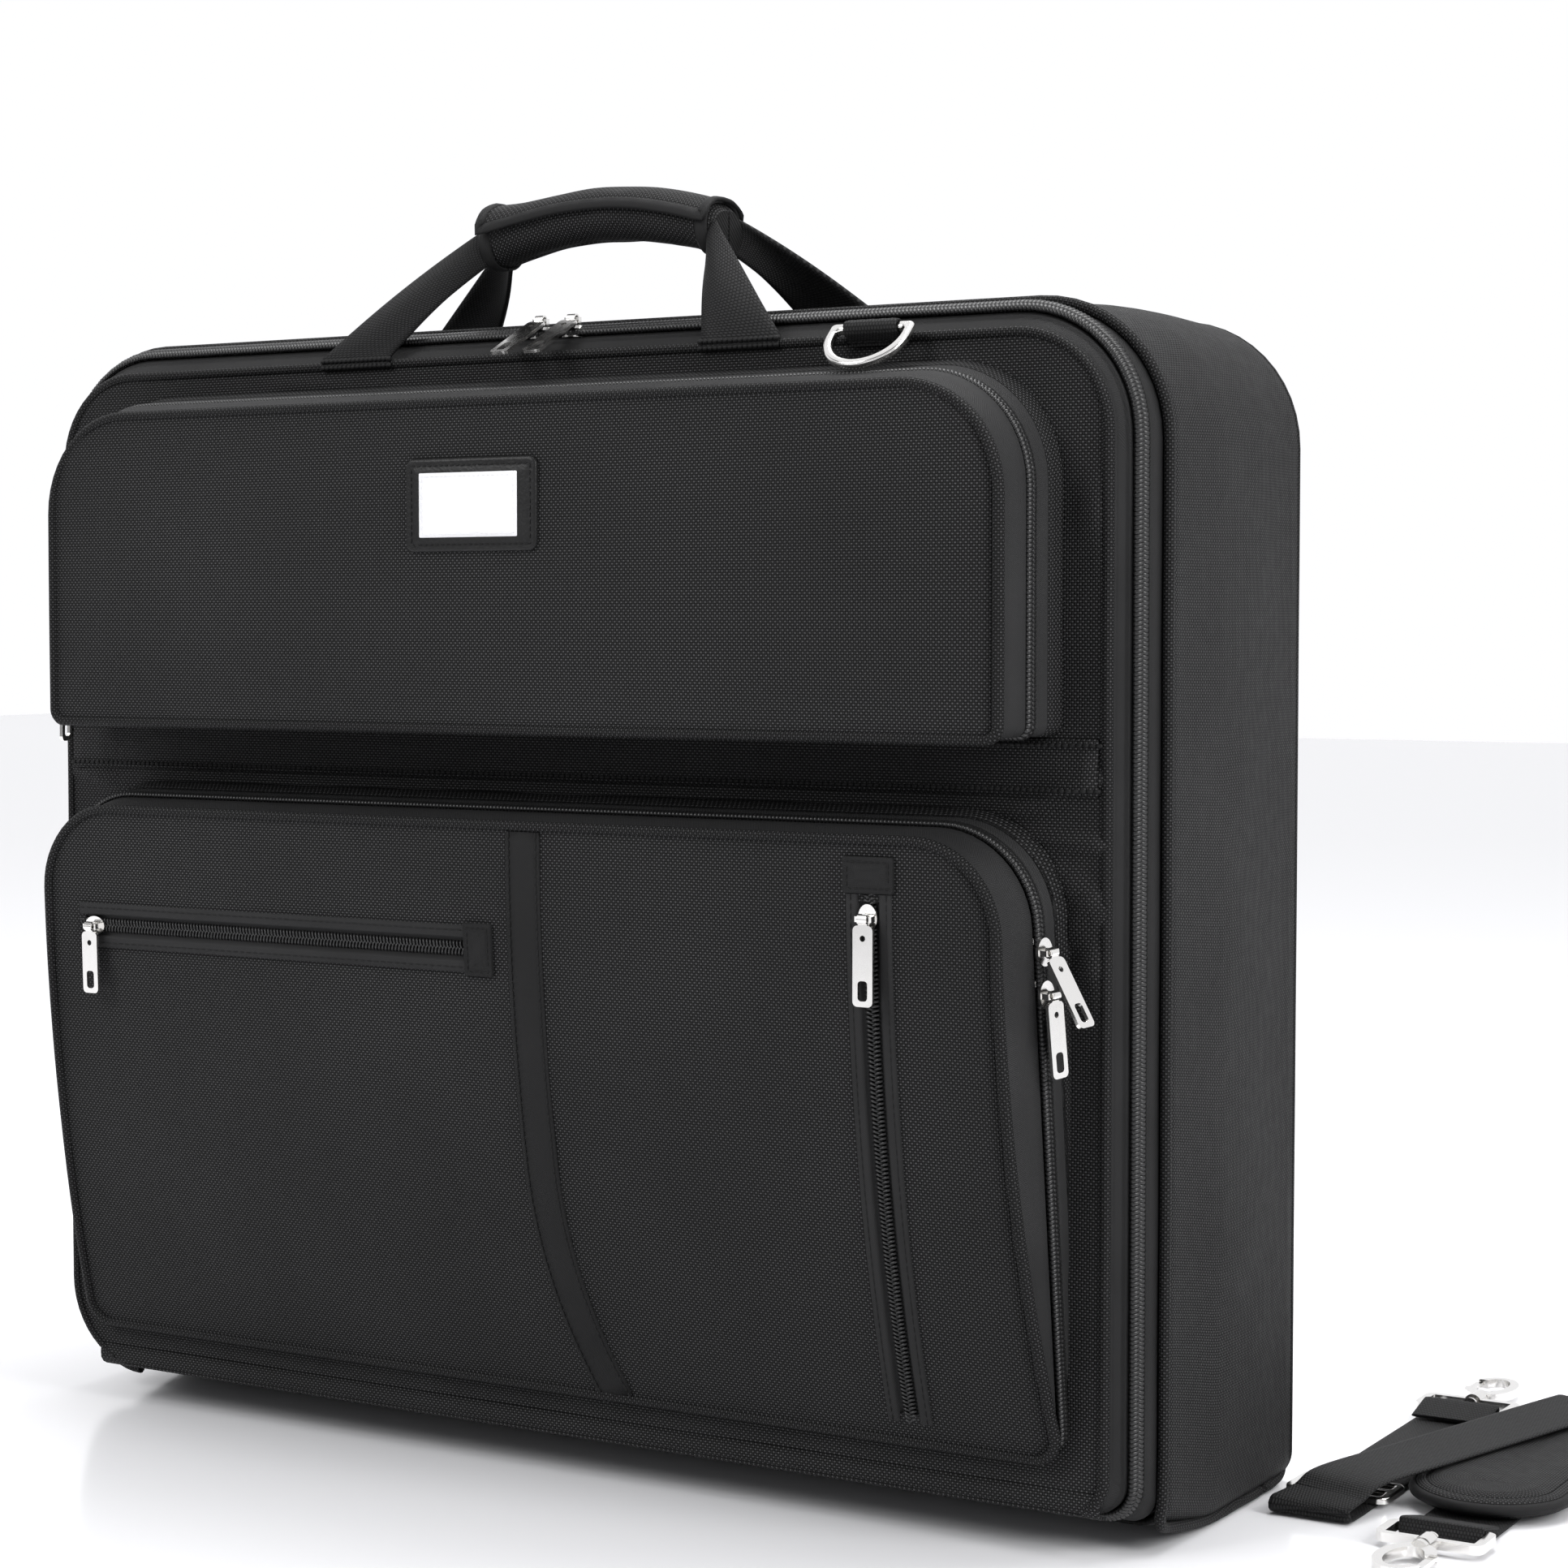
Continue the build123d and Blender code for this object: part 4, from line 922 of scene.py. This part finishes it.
def zipper_tabs():
    """The sewn patches over the two zippers' closed ends."""
    tabs = Shape()
    for x, z, width, height in ((HZIP_RIGHT + 8, HZIP_Z, 15.4, 24), (VZIP_X, VZIP_HIGH + 8, 24, 15.4)):
        rows = []
        for grow, lift in ((0, -0.2), (0, 1.5), (-0.5, 1.9), (-2.2, 1.5), (-3.6, 1.9), (-6, 2.0)):
            loop = rounded_loop(x, z, width + 2 * grow, height + 2 * grow, 0.6, 0, 2)
            rows.append([on_face(p.x, p.z, lift)[0] for p in loop])
        tabs.surface(rows, closed=True)
        tabs.cap(rows[-1])
        seam = rounded_loop(x, z, width - 4.2, height - 4.2, 0.6, 0, 2)
        line = [on_face(p.x, p.z, 1.6) for p in seam + seam[:1]]
        tabs.stitches([p for p, _ in line], [n for _, n in line], length=2.2, gap=0.8)
    place(tabs.make("zipper_tabs", [TRIM, THREAD]), "lower_pocket_cover", "smooth_trim", "zip_end_tabs")


# ---- carrying handle ----
GRIP_X, GRIP_HALF, GRIP_Y = 18, 66, -50.3
GRIP_RISE, GRIP_END_Z = 11.5, 573  # the grip bows up from its ends
GRIP_TALL = 11.8  # half its height
FOOT_HALF = 20  # half the webbing's width
FEET = ((-1, -103), (1, 111))  # (side, X) of the legs


def grip_z(x):
    """The height of the grip's middle, by the distance from its centre."""
    return GRIP_END_Z + GRIP_RISE * (1 - (x / GRIP_HALF) ** 2)


def leg(shape, foot_x, foot_y, foot_z, top_y, side):
    """One leg of a webbing loop: flat at its sewn foot, turning on edge where it enters the grip."""
    end = GRIP_X + side * (GRIP_HALF - 5)
    front = -1 if foot_y < -60 else 1
    corners = [(Vector((foot_x + side * FOOT_HALF, foot_y, foot_z)), Vector((end, top_y, GRIP_END_Z + 9.5))),
               (Vector((foot_x - side * FOOT_HALF, foot_y, foot_z)), Vector((end, top_y, GRIP_END_Z - 7.5)))]
    rows = []
    for share in spread(0, 1, 20):
        bow = math.sin(share * math.pi)
        outer, inner = (a.lerp(b, share) + Vector((0, front * 1.8 * bow, 1.2 * bow)) for a, b in corners)
        cupped = 13.5 * share * (1.15 - share)
        rows.append([outer.lerp(inner, t) + Vector((0, front * cupped * math.sin(math.pi * t), 0))
                     for t in spread(0, 1, 10)])
    sewn = [[p + Vector((0, front * 0.6, -drop)) for p in rows[0]] for drop in (6, 3)]
    shape.surface(sewn + rows)
    for height in (1.5, 4.5):
        line = [p + Vector((0, front * 1.5, -height)) for p in rows[0]]
        shape.stitches(line, [Y * front] * len(line), height=0.0, length=2.0, gap=0.6)


def handle_loop(name, body, node, foot_y, foot_z, top_y):
    """Both legs of a loop. The front one is tied to no body: its sewn feet lie on the lid and it keeps one fixed
    shape.
    """
    loop = Shape()
    for side, foot_x in FEET:
        leg(loop, foot_x, foot_y, foot_z, top_y, side)
    obj = loop.make(name, [WEBBING, THREAD], 2.0)
    obj.modifiers["thickness"].offset = 0
    if body != "front_handle":
        return place(obj, body, "webbing", node)
    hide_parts(node)
    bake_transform(obj)
    return obj


def grip_half(name, body, node, inner_y, outer_y):
    """Half of the padded grip: a D section that swells between its bound ends."""
    pad = Shape()
    deep = outer_y - inner_y
    rows = []
    for x in spread(-GRIP_HALF, GRIP_HALF, 44):
        end = min(1.0, (1 - abs(x) / GRIP_HALF) / 0.12)
        swell = 0.78 + 0.22 * math.sqrt(end) + 0.02 * math.sin(x / 6.1) * math.cos(x / 17)
        middle = Vector((GRIP_X + x, inner_y, grip_z(x)))
        row = []
        for a in spread(-90, 90, 16):
            c, s = math.cos(math.radians(a)), math.sin(math.radians(a))
            full = swell * (1 + 0.05 * ripple(Vector((x, a * 0.4, outer_y)), 20))
            row.append(middle + Vector((0, deep * full * c**0.8, GRIP_TALL * full * s)))
        row += [middle + Vector((0, deep * 0.01, GRIP_TALL * swell * s)) for s in (0.7, 0.25, -0.25, -0.7)]
        rows.append(row)
    pad.surface(rows, closed=True)
    pad.cap(rows[0])
    pad.cap(rows[-1])
    for row, x in ((rows[2], -GRIP_HALF), (rows[-3], GRIP_HALF)):
        middle = Vector((row[0].x, inner_y, grip_z(x)))
        ups = [(p - middle).normalized() for p in row[:17]]
        edge = [p + up * 0.4 for p, up in zip(row, ups)]
        pad.sweep(edge, ups, [(a * 3.4, b) for a, b in round_section(1.0)], part=1)
    obj = pad.make(name, [PAD_CLOTH, TRIM])
    place(obj, body, "pad_fabric", node)


def from_grip(p):
    """Away from the grip's middle line."""
    return (p - Vector((p.x, GRIP_Y, grip_z(p.x - GRIP_X) - 4))).normalized()


def flap():
    """The flap folded over the grip, its left end a little lifted and its right end drawn down."""
    cover = Shape()
    rows = []
    for x in spread(-62, 60, 32):
        row = []
        for a in spread(-78, 70, 16):
            c, s = math.cos(math.radians(a)), math.sin(math.radians(a))
            lift = 1.2 + 5.5 * max(0, (-x - 26) / 36) ** 2 + 0.7 * ripple(Vector((x, a, 0)), 26, 2)
            y = GRIP_Y + (16.6 + lift * 0.5) * s
            row.append(Vector((GRIP_X + 2 + x, y, grip_z(x) + (GRIP_TALL + lift) * c**0.8)))
        rows.append(row)
    cover.surface(rows)
    rim = [row[0] for row in rows] + rows[-1][1:-1] + [row[-1] for row in reversed(rows)] + rows[0][-2:0:-1]
    cover.sweep(rim, [from_grip(p) for p in rim], [(a * 2.2, b) for a, b in round_section(1.3)], closed=True, part=1)
    obj = cover.make("grip_flap_cloth", [PAD_CLOTH, TRIM], 2.0, from_grip)
    place(obj, "grip_flap", "pad_fabric", "grip_flap")


def handle():
    """Two webbing loops, two halves of a padded grip and the flap that holds them together."""
    handle_loop("front_handle_strap", "front_handle", "front_handle_webbing", -84, 522, -58.3)
    handle_loop("rear_handle_strap", "shell", "rear_handle_webbing", 4, 538, -42.3)
    grip_half("front_grip", "front_handle", "front_grip_pad", -50.7, -65)
    grip_half("rear_grip", "shell", "rear_grip_pad", -49.9, -35.6)
    flap()


# ---- loops that hold the D-rings ----
def ring_loop(name, body, node, bar, along, tail, out, width):
    """Webbing passed round a ring's bar, its two layers sewn together below."""
    loop = Shape()
    path = [bar + tail + out * 1.1, bar + tail * 0.6 + out * 1.2]
    way = tail.normalized()
    for a in spread(60, 300, 14):
        path.append(bar + (way * math.cos(math.radians(a)) + out * math.sin(math.radians(a))) * 3.3)
    path += [bar + tail * 0.6 - out * 1.2, bar + tail - out * 1.1]
    ups = [tangent.cross(along) for tangent in tangents(path, False)]
    loop.sweep(path, ups, strap_section(width / 2, 1.5, 5))
    line = [bar + tail * 0.75 + out * 2.1 + along * s for s in spread(-width / 2 + 2, width / 2 - 2, 6)]
    loop.stitches(line, [out] * len(line), height=0.1, length=2.2)
    place(loop.make(name, [WEBBING, THREAD]), body, "webbing", node)


def ring_loops():
    """A loop on the lid's top, at the right, and one on the shell's left side."""
    ring_loop("right_ring_strap", "lid", "right_ring_loop", Vector((181, -90, 522)), X, Vector((0, 4.2, -6.2)),
              Vector((0, -0.9, -0.45)), 26)
    ring_loop("left_ring_strap", "shell", "left_ring_loop", Vector((-315, -36, 366)), Y, Vector((0, 0, -44)), -X, 26)


# ---- inside the shell ----
def tie_straps():
    """Two straps across the lining that hold the clothes."""
    straps = Shape()
    half = 280
    for z in (210, 380):
        path = []
        for x in spread(-half, half, 50):
            y = BACK - 10.9 - 0.8 * math.sin(math.pi * (x + half) / (2 * half))
            path.append(Vector((x, y, z + 0.6 * ripple(Vector((x, 0, z)), 60))))
        straps.sweep(path, [-Y] * len(path), strap_section(12.5, 1.0, 5))
    place(straps.make("tie_straps", [WEBBING]), "shell", "webbing", "garment_strap")


# ---- shoulder strap, lying folded beside the bag ----
PAD_X, RUN_X, RUN_FRONT, RUN_BACK = 400, 338, 30, 246
PAD_HALF, PAD_RADIUS = 90, 36
STRAP_HALF = 19


def strap_ribbon(shape, path, across):
    """A length of strap webbing through a few points, with the way of its width at each."""
    line = curve(path, 8)
    widths = curve(across, 8)
    ups = [w.cross(t).normalized() for w, t in zip(widths, tangents(line, False))]
    shape.sweep(line, ups, strap_section(STRAP_HALF, 1.7, 8))


def round_ring(bar, way, turns):
    """Points round a ring's bar, from below it to above."""
    return [bar + (way * math.sin(math.radians(a)) - Z * math.cos(math.radians(a))) * 3.6 for a in turns]


def shoulder_strap():
    """Two straight runs, folded over at the pad's back and at the adjuster's front."""
    strap = Shape()
    fold, end = Vector((PAD_X, RUN_BACK, 0)), Vector((RUN_X, RUN_FRONT, 0))
    skew = (end - fold).normalized()
    slant = skew.cross(Z)

    front_ring = round_ring(Vector((PAD_X, RUN_FRONT - 6, 4.6)), -Y, (180, 130, 70, 20))
    under_pad = [Vector((PAD_X, RUN_FRONT + s, 1.1)) for s in (4, 70, 150, 205)]
    strap_ribbon(strap, [Vector((PAD_X, RUN_FRONT + 12, 4.0))] + front_ring + under_pad, [X] * 9)

    roll = [fold + Vector((0, s, z)) for s, z in ((-12, 1.1), (3, 2.3), (6.5, 7.4), (2, 12.7))]
    over_pad = [fold + skew * s + Z * z for s, z in ((12, 13.7), (75, 13.7), (140, 13.7), (196, 13.6), (213, 9.0))]
    way = [-X, -X, (-X).lerp(slant, 0.3), (-X).lerp(slant, 0.7)] + [slant] * 5
    strap_ribbon(strap, roll + over_pad, way)

    drop = [fold + skew * 213 + Z * 9, end + Vector((0, -2.5, 6.6)), end + Vector((0, -3.4, 3.6))]
    run = [end + Vector((0, s, 1.1)) for s in (3, 60, 130, 190)]
    back_ring = round_ring(Vector((RUN_X, RUN_BACK - 16, 4.6)), Y, (30, 90, 140, 180))
    strap_ribbon(strap, drop + run + back_ring + [Vector((RUN_X, RUN_BACK - 34, 4.0))], [slant] + [-X] * 11)
    place(strap.make("strap_ribbon", [WEBBING]), "shoulder_strap", "webbing", "strap_webbing")


def shoulder_pad():
    """The padded piece: a bound edge, a sewn channel and a crowned middle."""
    pad = Shape()
    middle_y = (RUN_FRONT + RUN_BACK) / 2 + 6
    straight = PAD_HALF - PAD_RADIUS

    def loop(grow, z):
        points = []
        for a in range(0, 360, 8):
            s = math.radians(a)
            end = straight if math.sin(s) >= 0 else -straight
            swell = 1 + 0.012 * ripple(Vector((a, z, 0)), 30)
            points.append(Vector((PAD_X + (PAD_RADIUS + grow) * swell * math.cos(s),
                                  middle_y + end + (PAD_RADIUS + grow) * math.sin(s), z)))
        return points

    levels = ((-34, 11.4), (-24, 12.2), (-14, 12.2), (-8.5, 11.2), (-7.6, 10.4), (-6.6, 11.0), (-3.2, 10.2),
              (-0.8, 8.2), (-0.6, 5.4), (-3.4, 3.0), (-16, 2.7), (-30, 2.7))
    rows = [loop(grow, z) for grow, z in levels]
    pad.surface(rows, closed=True)
    pad.cap(rows[0])
    pad.cap(rows[-1])
    edge = loop(-1.6, 7.0)
    pad.sweep(edge, [(p - Vector((PAD_X, middle_y, 7))).normalized() for p in edge], round_section(2.6), closed=True,
              part=1)
    seam = loop(-7.6, 10.7)
    pad.stitches(seam + seam[:1], [Z] * (len(seam) + 1), part=2)
    obj = pad.make("shoulder_cushion", [PAD_CLOTH, TRIM, THREAD])
    place(obj, "shoulder_strap", "pad_fabric", "shoulder_pad")


# ---- hard parts keep their own shape and get their finish ----
FINISHES = {
    "brushed_metal": BRUSHED,
    "bright_metal": BRIGHT,
    "black_plastic": PLASTIC,
    "stiffener_board": BOARD,
}


def hard_parts():
    """Metal, plastic and board: the frame's own solids, in their finish."""
    slots = {row["node"]: row["material_slot"] for row in frame["record"]["subparts"]}
    for name, obj in frame["nodes"].items():
        finish = FINISHES.get(slots[name])
        if finish:
            obj.data.materials.clear()
            obj.data.materials.append(finish)


# ---- stage ----
CAMERA_AT, CAMERA_LENS = (0.84385, -1.27894, 0.396), 72.6  # metres, millimetres
CAMERA_DOWN, CAMERA_TURN = 2.914, 30.745  # degrees below level, and round from straight ahead


def floor():
    """A wide pale floor, just under the feet of the bag."""
    ground = Shape()
    lines = spread(-9000, 9000, 8)
    ground.surface([[Vector((x, y, -0.3)) for x in lines] for y in lines])
    ground.make("floor", [material("pale_floor").finish(grey(0.83), 0.16)])


def lamp(name, at, size, power):
    """A soft box that looks at the bag's middle."""
    light = bpy.data.lights.new(name, "AREA")
    light.shape, light.size, light.size_y, light.energy = "RECTANGLE", size[0], size[1], power
    obj = bpy.data.objects.new(name, light)
    bpy.context.scene.collection.objects.link(obj)
    obj.location = at
    obj.rotation_euler = (Vector((0, 0, 0.28)) - Vector(at)).to_track_quat("-Z", "Y").to_euler()


def surroundings():
    """White to the camera and on the bag's far side, with soft dark bands in front for the metal to mirror."""
    g = Graph(bpy.data.worlds.new("studio"))
    way = g.node("ShaderNodeTexCoord").outputs["Generated"]
    bands = g.node("ShaderNodeTexWave", {"Vector": way, "Scale": 0.55, "Distortion": 3.0}, bands_direction="Z")
    room = g.mix(g.math("MULTIPLY_ADD", bands.outputs["Fac"], 2.0, -0.5), grey(0.10), grey(0.95))
    far = g.node("ShaderNodeSeparateXYZ", {0: way}).outputs["Y"]
    seen = g.node("ShaderNodeLightPath").outputs["Is Camera Ray"]
    white = g.math("MAXIMUM", seen, g.math("MULTIPLY_ADD", far, 3.0, 0.9))
    g.feed(g.tree.nodes["Background"], {"Color": g.mix(white, room, grey(1.0))})
    return g.owner


def studio():
    """The floor, the surroundings, three soft boxes and the camera."""
    floor()
    bpy.context.scene.world = surroundings()
    lamp("key", (-1.3, -2.2, 2.0), (1.4, 1.4), 55)
    lamp("side", (2.6, -0.5, 1.6), (1.0, 1.6), 60)
    lamp("top", (0.2, 0.4, 2.6), (2.0, 1.0), 45)
    camera = bpy.data.cameras.new("camera")
    camera.lens, camera.sensor_width, camera.clip_end = CAMERA_LENS, 36, 60
    obj = bpy.data.objects.new("camera", camera)
    bpy.context.scene.collection.objects.link(obj)
    obj.location = CAMERA_AT
    obj.rotation_euler = (math.radians(90 - CAMERA_DOWN), 0, math.radians(CAMERA_TURN))
    bpy.context.scene.camera = obj
    bpy.context.scene.view_settings.view_transform = "Standard"


def main():
    hard_parts()
    shell_wall()
    back_face()
    lining()
    shell_piping()
    main_zipper()
    bottom_hinge()
    lid_face()
    lid_underfold()
    lid_band()
    upper_pocket()
    patch()
    lower_pocket()
    accent()
    face_zippers()
    zipper_tabs()
    handle()
    ring_loops()
    tie_straps()
    shoulder_strap()
    shoulder_pad()
    studio()


main()
